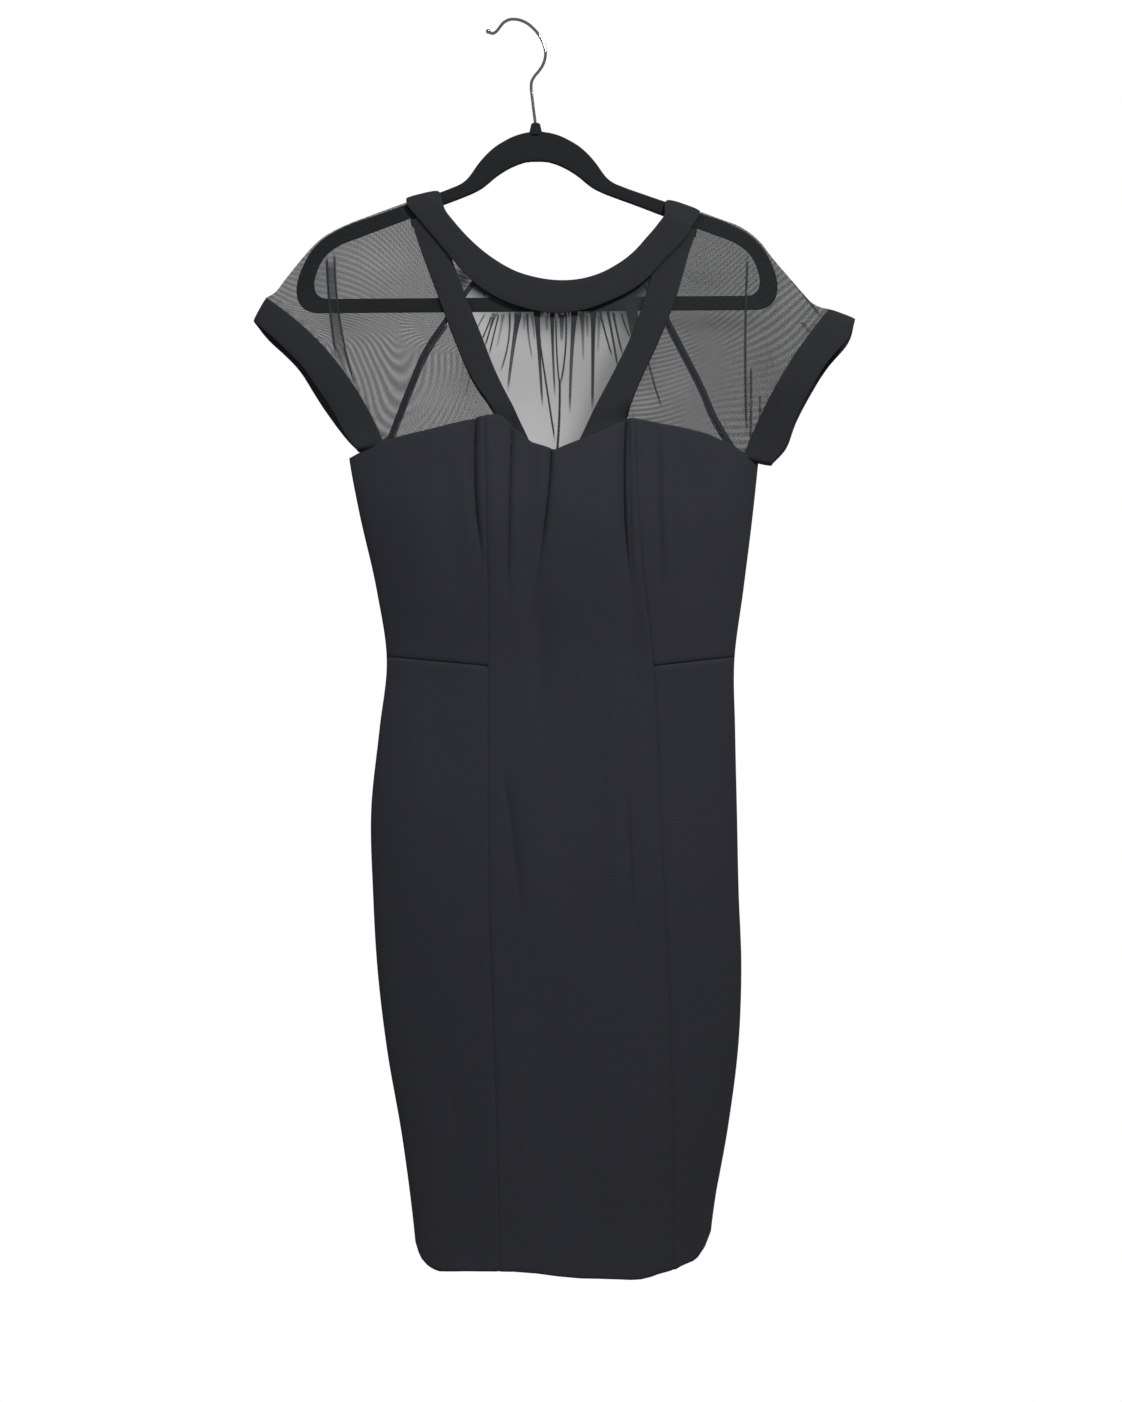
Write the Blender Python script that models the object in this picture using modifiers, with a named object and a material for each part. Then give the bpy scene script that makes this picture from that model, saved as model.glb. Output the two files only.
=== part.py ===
"""Sheath dress with a mesh yoke, hung on a slim flocked hanger.

Blender units are metres, +Z is up. The origin is the point where a rail carries the hanger's hook. The front of the
dress faces -Y, and "left" and "right" are the viewer's, seen from the front. Tables are in millimetres: "below" is
the distance under the origin and "across" the distance to the right of it.
"""

import math

import bmesh
import bpy
import numpy as np
from mathutils import Matrix, Vector

MM = 0.001

# Cloth and clearances
CREPE = 1.5
MESH_CLOTH = 1.0
BAND = 2.0
SEAM_GAP = 0.6
LAYER_GAP = 0.4
TUCK = 4.0

# Hanger
HANGER_CENTRE = 20.5
HANGER_THICK = 5.5
HANGER_EDGE = 1.4
WIRE = 3.4
BORE = 4.1
NECK_TOP = 95.0
NECK_FOOT = 112.0
BALL = 4.6

# Neckband
NECK_CENTRE = 36.3
NECK_HALF = 119.0
NECK_DROP = 91.0
NECK_START = 169.4
NECK_TILT = 5.1
NECK_ROUND = 1.34
BAND_WRAP = 4.9
MESH_WRAP = 4.6

# Body section: a lens with soft edges, (1 - |t|^LENS_POWER)^LENS_ROUND across its half width
LENS_POWER = 2.2
LENS_ROUND = 0.69
YOKE_SET_BACK = MESH_CLOTH + LAYER_GAP

# Centre back closing
BACK_CENTRE = 36.5
BACK_LEAN = 0.0105
BACK_V = 432.0
ZIP_LENGTH = 400.0
ZIP_TAPE = 24.0
SLIT_TOP = 985.0
SLIT_OPEN = 5.0

# Zip slider: its body, the bridge that holds the pull tab, and the tab
SLIDER_AT = 446.0
SLIDER_WIDE = 8.0
SLIDER_TALL = 11.0
SLIDER_THICK = 2.6
BRIDGE_UP = 3.0
BRIDGE_RADIUS = 2.2
BRIDGE_WIRE = 1.2
PULL_RISE = 0.85
PULL_WIDE = 5.0
PULL_THICK = 1.0
PULL_LONG = 22.0
WINDOW_WIDE = 2.4
WINDOW_FROM = 0.6
WINDOW_TO = 4.4

BODY = (
    ("below", "left", "right", "front", "back", "turn"),
    (150, -177, 250, 8.0, 8.0, 0.0),
    (200, -173, 246, 9.0, 9.0, 0.0),
    (250, -170, 243, 11.5, 10.5, 0.0),
    (300, -165, 237, 14.0, 12.5, 0.0),
    (360, -158, 230, 19.5, 15.0, 0.0),
    (410, -152.7, 225.3, 27.0, 17.5, 0.0),
    (455, -144.3, 220.6, 34.0, 20.0, 0.0),
    (530, -127.5, 211.3, 33.0, 20.0, 0.0),
    (595, -118.2, 203.0, 28.0, 20.0, 0.0),
    (660, -124.8, 203.9, 31.0, 24.0, 0.015),
    (735, -132.2, 205.8, 37.0, 30.0, 0.03),
    (809, -130.3, 207.6, 40.0, 32.0, 0.045),
    (883, -125.7, 210.4, 38.0, 31.0, 0.06),
    (958, -116.4, 207.6, 35.0, 29.0, 0.075),
    (1032, -103.3, 198.3, 33.0, 27.0, 0.09),
    (1107, -93.1, 185.3, 31.0, 26.0, 0.105),
    (1180, -86.0, 177.0, 30.0, 25.0, 0.12),
)

PRINCESS = (
    ("below", "left", "right"),
    (375, -34.5, 104.0),
    (435, -36.8, 97.8),
    (510, -24.0, 105.5),
    (595, -24.1, 120.5),
    (660, -24.0, 128.2),
    (740, -23.5, 133.2),
    (812, -22.8, 140.3),
    (900, -20.0, 141.8),
    (980, -17.3, 144.6),
    (1080, -14.8, 146.0),
    (1160, -13.9, 146.0),
)

# Top edge of the front: side, armhole, strap foot, V with its notch, strap foot, armhole, side
TOP_FRONT = (
    ("across", "below"),
    (-153, 407), (-120, 391.7), (-78, 383.3), (-34.5, 374.7), (-13, 370.5), (-8, 374.5), (16, 395),
    (38, 402.4), (57.5, 394), (101.6, 376), (115, 376.5), (134, 379), (204, 396.3), (218, 404.7), (225.5, 410.6),
)

TOP_BACK = (
    ("across", "below"),
    (-153, 407), (-120, 397), (-60, 385), (-13.5, 371.5), (16, 396), (36.5, BACK_V), (57.5, 395),
    (101.6, 375.5), (134, 383), (204, 399), (225.5, 410.6),
)

HEM = (
    ("across", "below"),
    (-88, 1140), (-80, 1151), (-69, 1156), (-20, 1154), (20, 1155), (60, 1160), (100, 1161),
    (125, 1158), (148, 1150), (166, 1143), (180, 1127), (184, 1122),
)

# Columns of the centre front panel where they meet its top edge, one at each turn of that edge
CENTRE_COLUMNS = (-34.2, -31, -27, -20, -13, -8, 0, 8, 16, 27, 38, 48, 57.5, 68, 79, 90, 97, 101.6, 103.7)

# Columns of the front yoke along its foot, likewise
YOKE_COLUMNS = (-122, -90, -56, -34.5, -20, -13, 2, 16, 27, 38, 48, 57.5, 79, 101.6, 134, 175, 213)

WAIST_AT_SIDE = 592.0
WAIST_AT_PRINCESS = 601.0
WAIST_AT_BACK = 598.0

# Folds: the seam a fold runs beside, how far to the right of it at its two ends, from where to where, half width, depth
FRONT_FOLDS = (
    ("seam", "shift_top", "shift_end", "top", "end", "width", "depth"),
    ("left", 0, 0, 380, 535, 12, -4.5),
    ("left", 14, 12, 378, 560, 9, 2.0),
    ("left", 31, 21, 388, 570, 6, -4.0),
    ("left", 69, 41, 408, 545, 8, -5.0),
    ("left", 48, 50, 520, 690, 17, -3.0),
    ("left", 85, 85, 540, 830, 24, -3.0),
    ("left", 13, 21, 700, 900, 10, -3.0),
    ("right", 0, 0, 381, 575, 12, -4.5),
    ("right", 14, 13, 400, 560, 8, 2.0),
    ("right", 36, 30, 400, 560, 7, -2.0),
    ("right", 68, 60, 410, 580, 15, -3.0),
    ("right", -30, -30, 570, 720, 15, 2.5),
    ("right", -30, -30, 690, 900, 9, -3.0),
    ("right", -20, -20, 640, 880, 9, 2.0),
)

BACK_FOLDS = (
    ("seam", "shift_top", "shift_end", "top", "end", "width", "depth"),
    ("left", 20, 24, 440, 620, 12, -3.0),
    ("left", -45, -30, 420, 600, 16, -2.5),
    ("left", 20, 12, 690, 930, 13, -2.5),
    ("right", -22, -30, 450, 640, 12, -3.0),
    ("right", 45, 30, 430, 600, 16, -2.5),
    ("right", -40, -46, 700, 960, 15, -2.5),
)

# Straps: their outer and inner edges, from under the neckband to the bodice
STRAP_LEFT = (
    ("along", "outer_across", "outer_below", "inner_across", "inner_below"),
    (0.0, -96.0, 187.0, -71.5, 180.0),
    (0.2, -87.0, 214.5, -62.9, 210.0),
    (0.4, -70.2, 259.2, -46.0, 257.4),
    (0.6, -58.0, 292.0, -32.1, 292.0),
    (0.8, -38.4, 336.3, -14.4, 336.3),
    (1.0, -13.2, 369.6, 15.6, 393.6),
)

STRAP_RIGHT = (
    ("along", "outer_across", "outer_below", "inner_across", "inner_below"),
    (0.0, 168.5, 196.5, 141.0, 189.0),
    (0.2, 162.4, 213.3, 134.6, 211.5),
    (0.4, 150.2, 255.6, 122.4, 253.8),
    (0.6, 134.4, 295.8, 108.4, 294.0),
    (0.8, 115.7, 336.2, 88.0, 336.2),
    (1.0, 101.2, 374.2, 57.8, 392.6),
)

# Raglan seams of the mesh, from the neckband to the underarm
RAGLAN_LEFT = (
    ("along", "across", "below"),
    (0.0, -36.7, 243.2),
    (0.2, -55.2, 271.2),
    (0.43, -79.2, 306.5),
    (0.66, -97.2, 343.6),
    (0.85, -108.9, 373.2),
    (1.0, -122.0, 391.0),
)

RAGLAN_RIGHT = (
    ("along", "across", "below"),
    (0.0, 120.6, 246.0),
    (0.17, 136.2, 271.3),
    (0.38, 155.6, 306.4),
    (0.6, 173.2, 343.6),
    (0.78, 186.0, 373.3),
    (0.9, 203.7, 388.9),
    (1.0, 213.0, 399.9),
)

# Where the mesh leaves the end of the hanger and runs on to the top of the cuff
SHOULDER_LEFT = (
    ("along", "across", "below"),
    (0.0, -176.0, 196.0), (0.2, -188.0, 205.5), (0.5, -204.0, 223.0), (1.0, -230.0, 261.1),
)
SHOULDER_RIGHT = (
    ("along", "across", "below"),
    (0.0, 213.0, 193.6), (0.2, 227.0, 203.5), (0.5, 252.0, 224.5), (1.0, 295.1, 271.3),
)

# Outline of one half of the hanger, outwards from its centre line
HANGER_OUTER = (
    ("out", "below"),
    (3.0, 107.6), (20.0, 108.6), (30.0, 110.8), (41.0, 118.5), (49.0, 126.0), (60.5, 140.6), (67.0, 148.0),
    (80.0, 155.5), (100.0, 162.9), (143.0, 177.6), (183.0, 192.5), (197.0, 200.0), (205.5, 207.6),
    (211.0, 215.0), (215.0, 222.6), (218.5, 230.0), (221.5, 240.0), (222.5, 250.0), (221.0, 259.0),
    (216.0, 266.0), (207.5, 269.8), (196.0, 270.3),
)
HANGER_INNER = (
    ("out", "below"),
    (12.0, 131.5), (24.0, 135.5), (34.0, 140.6), (43.0, 148.0), (52.0, 155.5), (68.0, 162.9), (89.0, 171.0),
    (125.0, 185.3), (165.0, 200.0), (184.0, 207.6), (194.5, 215.0), (200.5, 223.0), (204.0, 232.0),
    (206.0, 243.0), (204.5, 252.0), (199.0, 257.2), (190.0, 258.2),
)

# The hook's wire, from inside the hanger's neck to its ball
HOOK = (
    ("across", "below"),
    (19.4, 107.0), (19.2, 95.0), (18.0, 84.0), (16.0, 67.0), (15.3, 59.0), (17.6, 52.6), (23.4, 46.0),
    (27.4, 39.0), (28.4, 31.5), (27.0, 22.4), (22.6, 13.6), (16.2, 6.0), (8.6, 0.6), (0.0, -1.7), (-6.4, -1.0),
    (-11.2, 2.6), (-14.9, 7.4), (-18.4, 10.9), (-22.0, 11.4),
)

COLOURS = {
    "crepe": (0.024, 0.026, 0.030, 1.0),
    "mesh": (0.035, 0.037, 0.038, 1.0),
    "flock": (0.012, 0.012, 0.013, 1.0),
    "chrome": (0.55, 0.55, 0.56, 1.0),
    "tape": (0.010, 0.010, 0.011, 1.0),
    "enamel": (0.013, 0.013, 0.014, 1.0),
}


# ---------------------------------------------------------------- tables and small sums


def column(table, name):
    """One named column of a table as an array."""
    place = table[0].index(name)
    return np.array([row[place] for row in table[1:]], float)


def read(table, name, at):
    """A column read at a value of the table's first column, on a smooth curve through the rows."""
    given = column(table, table[0][0])
    wanted = column(table, name)
    slopes = np.gradient(wanted, given)
    at = min(max(at, given[0]), given[-1])
    i = min(max(int(np.searchsorted(given, at)) - 1, 0), len(given) - 2)
    span = given[i + 1] - given[i]
    f = (at - given[i]) / span
    start = wanted[i] * (1 + 2 * f) * (1 - f) ** 2 + slopes[i] * span * f * (1 - f) ** 2
    end = wanted[i + 1] * f * f * (3 - 2 * f) + slopes[i + 1] * span * f * f * (f - 1)
    return float(start + end)


def edge_at(table, across):
    """How far below the origin an edge lies, read in straight runs."""
    return float(np.interp(across, column(table, "across"), column(table, "below")))


def mix(a, b, f):
    return a + (b - a) * f


def ease(f):
    f = min(max(f, 0.0), 1.0)
    return f * f * (3 - 2 * f)


def spaced(count, crowd):
    """count + 1 places from 0 to 1, closer together at both ends as crowd goes from 0 to 1."""
    return [mix(i / count, (1 - math.cos(math.pi * i / count)) / 2, crowd) for i in range(count + 1)]


def along_curve(points, count):
    """count + 1 points, evenly spaced by length, on a smooth curve through the points given."""
    points = np.array(points, float)
    lengths = np.concatenate([[0], np.cumsum(np.linalg.norm(np.diff(points, axis=0), axis=1))])
    table = (("along", "across", "below"),) + tuple((s, x, z) for s, (x, z) in zip(lengths, points))
    places = np.linspace(0, lengths[-1], count + 1)
    return [(read(table, "across", s), read(table, "below", s)) for s in places]


# ---------------------------------------------------------------- the body's form


def lens(t):
    return max(1 - abs(t) ** LENS_POWER, 0.0) ** LENS_ROUND


def fold_depth(table, across, below):
    """How far the folds of a table lift or sink the cloth at one place."""
    total = 0.0
    for seam, shift_top, shift_end, top, end, width, depth in table[1:]:
        f = (below - top) / (end - top)
        if not 0 < f < 1:
            continue
        centre = read(PRINCESS, seam, below) + mix(shift_top, shift_end, f)
        fade = ease(f / 0.2) * ease((1 - f) / 0.45)
        total += depth * fade * math.exp(-(abs(across - centre) / width) ** 4)
    return total


def section(below):
    """Centre and half width of the body at one height."""
    left = read(BODY, "left", below)
    right = read(BODY, "right", below)
    return (left + right) / 2, (right - left) / 2


def depth_at(side, across, below):
    """How far the body's surface stands from the hanger's plane: side is "front" or "back"."""
    centre, half = section(below)
    t = min(max((across - centre) / half, -1.0), 1.0)
    folds = FRONT_FOLDS if side == "front" else BACK_FOLDS
    flat_edge = 1 - t ** 8
    return read(BODY, side, below) * lens(t) + fold_depth(folds, across, below) * flat_edge


def on_body(side, across, below, lift=0.0):
    """The point of the body's surface at a place seen from the front, moved out by lift."""
    centre, _ = section(below)
    out = depth_at(side, across, below) + SEAM_GAP / 2 + lift
    sign = -1 if side == "front" else 1
    turn = read(BODY, "turn", below) * (across - centre)
    return Vector((across, sign * out + turn, -below)) * MM


def angle_of(across, below):
    centre, half = section(below)
    return math.asin(min(max((across - centre) / half, -1.0), 1.0))


def across_of(angle, below):
    centre, half = section(below)
    return centre + half * math.sin(angle)


def back_seam(below):
    return BACK_CENTRE + BACK_LEAN * (below - BACK_V)


# ---------------------------------------------------------------- Blender helpers


def material(name):
    found = bpy.data.materials.get(name)
    if found:
        return found
    made = bpy.data.materials.new(name)
    made.use_nodes = True
    made.diffuse_color = COLOURS[name]
    shader = made.node_tree.nodes["Principled BSDF"]
    shader.inputs["Base Color"].default_value = COLOURS[name]
    shader.inputs["Roughness"].default_value = {"chrome": 0.16, "enamel": 0.35}.get(name, 0.9)
    shader.inputs["Metallic"].default_value = 1.0 if name == "chrome" else 0.0
    return made


def new_object(name, mesh, finish):
    obj = bpy.data.objects.new(name, mesh)
    obj.data.materials.append(material(finish))
    DRESS.objects.link(obj)
    return obj


def sheet(name, place, across, down, thick, finish, flip=False, offset=1.0, ring=False):
    """A cloth panel: a grid whose point (u, v) goes to place(u, v), with Solidify for its wall.

    across and down list the grid's places from 0 to 1. A ring joins its last column to its first.
    """
    grid = bmesh.new()
    bmesh.ops.create_grid(grid, x_segments=len(across) - 1, y_segments=len(down) - 1, size=0.5)
    for vert in grid.verts:
        i = round((vert.co.x + 0.5) * (len(across) - 1))
        j = round((0.5 - vert.co.y) * (len(down) - 1))
        vert.co = place(across[i], down[j])
    if ring:
        bmesh.ops.remove_doubles(grid, verts=grid.verts, dist=1e-6)
    if flip:
        bmesh.ops.reverse_faces(grid, faces=grid.faces)
    mesh = bpy.data.meshes.new(name)
    grid.to_mesh(mesh)
    grid.free()
    obj = new_object(name, mesh, finish)
    wall = obj.modifiers.new("Wall", "SOLIDIFY")
    wall.thickness = thick * MM
    wall.offset = offset
    mesh.shade_smooth()
    return obj


def boolean(obj, other, operation):
    """Joins another mesh to an object, or cuts it away, and removes that mesh."""
    step = obj.modifiers.new(operation.title(), "BOOLEAN")
    step.operation = operation
    step.object = other
    graph = bpy.context.evaluated_depsgraph_get()
    mesh = bpy.data.meshes.new_from_object(obj.evaluated_get(graph))
    obj.modifiers.clear()
    obj.data = mesh
    bpy.data.objects.remove(other)


def as_mesh(curve):
    """A curve object made a mesh object with welded caps."""
    graph = bpy.context.evaluated_depsgraph_get()
    mesh = bpy.data.meshes.new_from_object(curve.evaluated_get(graph))
    welded = bmesh.new()
    welded.from_mesh(mesh)
    bmesh.ops.remove_doubles(welded, verts=welded.verts, dist=1e-6)
    welded.to_mesh(mesh)
    welded.free()
    name = curve.name
    place = curve.matrix_world.copy()
    bpy.data.objects.remove(curve)
    obj = bpy.data.objects.new(name, mesh)
    obj.matrix_world = place
    DRESS.objects.link(obj)
    return obj


def wire_curve(name, points, radius, finish):
    data = bpy.data.curves.new(name, "CURVE")
    data.dimensions = "3D"
    data.bevel_depth = radius * MM
    data.bevel_resolution = 2
    data.use_fill_caps = True
    line = data.splines.new("POLY")
    line.points.add(len(points) - 1)
    for spot, point in zip(line.points, points):
        spot.co = (*(Vector(point) * MM), 1.0)
    data.materials.append(material(finish))
    obj = bpy.data.objects.new(name, data)
    DRESS.objects.link(obj)
    return obj


# ---------------------------------------------------------------- body panels


def panel_place(side, left_of, right_of, top_of, end_of):
    """A panel between two seams: u runs from the left seam to the right one, v from top to end."""

    def place(u, v):
        below = mix(top_of(0.5), end_of(0.5), v)
        for _ in range(3):
            left = angle_of(left_of(below), below)
            right = angle_of(right_of(below), below)
            across = across_of(mix(left, right, u), below)
            below = mix(top_of(across), end_of(across), v)
        return on_body(side, across, below)

    return place


def side_edge(name):
    return lambda below: read(BODY, name, below)


def princess(name, shift):
    return lambda below: read(PRINCESS, name, below) + shift


def waist(side_name, middle, shift):
    """The waist seam, from its height at the side seam to its height at the panel's other edge."""

    def height(across):
        side = read(BODY, side_name, WAIST_AT_SIDE)
        inner = read(PRINCESS, side_name, WAIST_AT_SIDE) if middle == WAIST_AT_PRINCESS else BACK_CENTRE
        f = (across - side) / (inner - side)
        return mix(WAIST_AT_SIDE, middle, min(max(f, 0.0), 1.0)) + shift

    return height


def front_top(across):
    return edge_at(TOP_FRONT, across)


def back_top(across):
    return edge_at(TOP_BACK, across)


def hem(across):
    return edge_at(HEM, across)


def make_front_panels():
    half_gap = SEAM_GAP / 2
    columns = [(x - CENTRE_COLUMNS[0]) / (CENTRE_COLUMNS[-1] - CENTRE_COLUMNS[0]) for x in CENTRE_COLUMNS]
    rows_above = [0.0, 0.025, 0.05, 0.08, 0.11, 0.14, 0.17, 0.2, 0.23, 0.27]
    rows_below = [0.31, 0.36, 0.41, 0.47, 0.53, 0.59, 0.65, 0.71, 0.77, 0.83, 0.89, 0.95, 1.0]
    sheet(
        "centre_front_panel",
        panel_place("front", princess("left", half_gap), princess("right", -half_gap), front_top, hem),
        columns,
        rows_above + rows_below,
        CREPE,
        "crepe",
    )
    for name in ("left", "right"):
        inner = princess(name, -half_gap if name == "left" else half_gap)
        outer = side_edge(name)
        edges = (outer, inner) if name == "left" else (inner, outer)
        upper_end = waist(name, WAIST_AT_PRINCESS, -half_gap)
        lower_top = waist(name, WAIST_AT_PRINCESS, half_gap)
        sheet(
            "side_front_bodice_" + name,
            panel_place("front", *edges, front_top, upper_end),
            spaced(9, 0.9),
            spaced(11, 0.0),
            CREPE,
            "crepe",
        )
        sheet(
            "side_front_skirt_" + name,
            panel_place("front", *edges, lower_top, hem),
            spaced(8, 0.6),
            spaced(13, 0.0),
            CREPE,
            "crepe",
        )


def make_back_panels():
    half_gap = SEAM_GAP / 2

    def centre_edge(sign):
        def edge(below):
            slit = SLIT_OPEN * max((below - SLIT_TOP) / (1150 - SLIT_TOP), 0.0) ** 1.5
            return back_seam(below) + sign * (half_gap + slit)

        return edge

    for name, sign in (("left", -1), ("right", 1)):
        outer = side_edge(name)
        inner = centre_edge(sign)
        edges = (outer, inner) if name == "left" else (inner, outer)
        upper_end = waist(name, WAIST_AT_BACK, -half_gap)
        lower_top = waist(name, WAIST_AT_BACK, half_gap)
        sheet(
            "back_bodice_" + name,
            panel_place("back", *edges, back_top, upper_end),
            spaced(10, 0.5),
            spaced(7, 0.0),
            CREPE,
            "crepe",
            flip=True,
        )
        sheet(
            "back_skirt_" + name,
            panel_place("back", *edges, lower_top, hem),
            spaced(9, 0.5),
            spaced(12, 0.0),
            CREPE,
            "crepe",
            flip=True,
        )


# ---------------------------------------------------------------- hanger and hook


def hanger_top(across):
    """How far below the origin the top of the hanger's arm is."""
    out = abs(across - HANGER_CENTRE)
    rows = HANGER_OUTER[1:]
    outs = [row[0] for row in rows]
    widest = outs.index(max(outs)) + 1
    return float(np.interp(out, outs[:widest], [row[1] for row in rows[:widest]]))


def flat_outline(name, loops, half_thick, edge, finish):
    """A flat plate from closed outlines, the first one its rim and the others its holes, with rounded edges."""
    data = bpy.data.curves.new(name, "CURVE")
    data.dimensions = "2D"
    data.fill_mode = "BOTH"
    data.extrude = (half_thick - edge) * MM
    data.bevel_depth = edge * MM
    data.bevel_resolution = 1
    data.offset = -edge * MM
    for loop in loops:
        line = data.splines.new("POLY")
        line.points.add(len(loop) - 1)
        line.use_cyclic_u = True
        for spot, (x, z) in zip(line.points, loop):
            spot.co = (x * MM, z * MM, 0.0, 1.0)
    data.materials.append(material(finish))
    obj = bpy.data.objects.new(name, data)
    obj.rotation_euler = (math.pi / 2, 0.0, 0.0)
    DRESS.objects.link(obj)
    bpy.context.view_layer.update()
    return obj


def both_halves(table):
    right = [(HANGER_CENTRE + out, -below) for out, below in table[1:]]
    left = [(HANGER_CENTRE - out, -below) for out, below in reversed(table[1:])]
    return right + left


def solid_helper(name, build):
    """A closed helper mesh that a Boolean joins or cuts away, made by build(mesh)."""
    made = bmesh.new()
    build(made)
    mesh = bpy.data.meshes.new(name)
    made.to_mesh(mesh)
    made.free()
    obj = bpy.data.objects.new(name, mesh)
    DRESS.objects.link(obj)
    return obj


def upright_cone(name, across, foot, top, foot_radius, top_radius):
    def build(mesh):
        bmesh.ops.create_cone(
            mesh,
            cap_ends=True,
            segments=20,
            radius1=foot_radius * MM,
            radius2=top_radius * MM,
            depth=(foot - top) * MM,
        )

    obj = solid_helper(name, build)
    obj.location = (across * MM, 0.0, -(foot + top) / 2 * MM)
    bpy.context.view_layer.update()
    return obj


def make_hanger():
    loops = [both_halves(HANGER_OUTER), both_halves(HANGER_INNER)]
    body = as_mesh(flat_outline("hanger", loops, HANGER_THICK / 2, HANGER_EDGE, "flock"))
    shank = HOOK[2][0]
    boolean(body, upright_cone("neck", shank, NECK_FOOT, NECK_TOP, 5.4, 3.1), "UNION")
    boolean(body, upright_cone("bore", shank, NECK_FOOT - 3.5, NECK_TOP - 1, BORE / 2, BORE / 2), "DIFFERENCE")


def make_hook():
    path = along_curve(HOOK[1:], 44)
    line = [(x, 0.0, -z) for x, z in path]
    wire = as_mesh(wire_curve("hook", line, WIRE / 2, "chrome"))
    tip = Vector(line[-1]) * MM

    def build(mesh):
        bmesh.ops.create_uvsphere(mesh, u_segments=14, v_segments=9, radius=BALL / 2 * MM)

    ball = solid_helper("ball", build)
    ball.location = tip
    bpy.context.view_layer.update()
    boolean(wire, ball, "UNION")


# ---------------------------------------------------------------- neckband and straps


def neck_middle(angle):
    """The neckband's middle line: an even, slightly tilted curve from shoulder (0) to shoulder (pi)."""
    across = NECK_CENTRE - NECK_HALF * math.cos(angle)
    tilt = NECK_TILT * (across - NECK_CENTRE) / NECK_HALF
    return across, NECK_START + tilt + NECK_DROP * math.sin(angle) ** NECK_ROUND


def neck_edge(angle, out):
    """A point beside the neckband's middle line, out mm towards its outer edge."""
    step = 0.01
    x0, z0 = neck_middle(angle - step)
    x1, z1 = neck_middle(angle + step)
    long = math.hypot(x1 - x0, z1 - z0)
    x, z = neck_middle(angle)
    return x - (z1 - z0) / long * out, z + (x1 - x0) / long * out


def neck_width(angle):
    """The band is widest in front, narrows at the sides of the neck and flares over the hanger."""
    return 27.0 - 3.5 * math.sin(2 * angle) ** 2 + 2.0 * max(math.cos(angle) ** 2 - 0.9, 0) / 0.1


SHOULDER_EDGES = {"left": (-69.0, -100.5), "right": (138.7, 171.3)}


def over_arm(across, radius, angle):
    """A point on the cloth's bend over the hanger's arm: -90 degrees is behind it, 90 in front."""
    centre = hanger_top(across) + HANGER_THICK / 2
    return Vector((across, -radius * math.sin(angle), -centre + radius * math.cos(angle))) * MM


def make_neckband():
    mid_lift = CREPE + LAYER_GAP + BAND / 2
    wraps = [math.radians(a) for a in (-90, -45, 0, 45, 90)]
    turns = [math.radians(mix(14, 166, i / 18)) for i in range(19)]
    stations = [("tail", "left", 0)] + [("wrap", "left", a) for a in wraps]
    stations += [("front", "", a) for a in turns]
    stations += [("wrap", "right", a) for a in reversed(wraps)] + [("tail", "right", 0)]
    strap = {"left": STRAP_LEFT, "right": STRAP_RIGHT}

    def place(station, v):
        kind, side, angle = station
        if kind == "front":
            across, below = neck_edge(angle, (v - 0.5) * neck_width(angle))
            return on_body("front", across, below, mid_lift)
        inner, outer = SHOULDER_EDGES[side]
        if kind == "wrap":
            return over_arm(mix(inner, outer, v), BAND_WRAP, angle)
        across = mix(strap[side][1][3], strap[side][1][1], v)
        below = mix(strap[side][1][4], strap[side][1][2], v) - SEAM_GAP
        return on_body("back", across, below, CREPE / 2)

    sheet("neckband", place, stations, [0.0, 0.5, 1.0], BAND, "crepe", offset=0.0)


def strap_point(table, along, u):
    across = mix(read(table, "outer_across", along), read(table, "inner_across", along), u)
    below = mix(read(table, "outer_below", along), read(table, "inner_below", along), u)
    return across, below


def make_straps():
    for name, table in (("left", STRAP_LEFT), ("right", STRAP_RIGHT)):
        for side in ("front", "back"):

            def place(u, v, side=side, table=table):
                return on_body(side, *strap_point(table, v, u))

            sheet(
                f"{side}_strap_{name}",
                place,
                [0.0, 0.5, 1.0],
                spaced(10, 0.0),
                CREPE,
                "crepe",
                flip=(side == "back") == (name == "left"),
            )


# ---------------------------------------------------------------- mesh yoke and sleeves

MESH_LIFT = -(LAYER_GAP + MESH_CLOTH / 2)

SLEEVES = {
    "left": {
        "raglan": RAGLAN_LEFT,
        "strap": STRAP_LEFT,
        "shoulder": SHOULDER_LEFT,
        "sign": -1,
        "back_from": 0.27,
        "strap_from": 0.52,
        "cuff_top": (-243.3, 278.7),
        "cuff_foot": (-146.0, 400.0),
        "seam_bow": {"front": 14.0, "back": 8.0},
        "edge_bow": {"front": 8.5, "back": 0.5},
    },
    "right": {
        "raglan": RAGLAN_RIGHT,
        "strap": STRAP_RIGHT,
        "shoulder": SHOULDER_RIGHT,
        "sign": 1,
        "back_from": 0.225,
        "strap_from": 0.52,
        "cuff_top": (316.0, 280.2),
        "cuff_foot": (238.7, 412.9),
        "seam_bow": {"front": 7.5, "back": 5.5},
        "edge_bow": {"front": 6.0, "back": 4.0},
    },
}
BESIDE_BAND = 1.2
SLEEVE_COLUMNS = 12
CUFF_DEPTH = 13.0


def raglan(sleeve, along):
    return read(sleeve["raglan"], "across", along), read(sleeve["raglan"], "below", along)


def bowed(start, end, bow, t):
    """A point between two others, on a line that bows to its right by bow at its middle."""
    dx, dz = end[0] - start[0], end[1] - start[1]
    long = math.hypot(dx, dz)
    push = bow * 4 * t * (1 - t)
    return mix(start[0], end[0], t) + dz / long * push, mix(start[1], end[1], t) - dx / long * push


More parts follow.
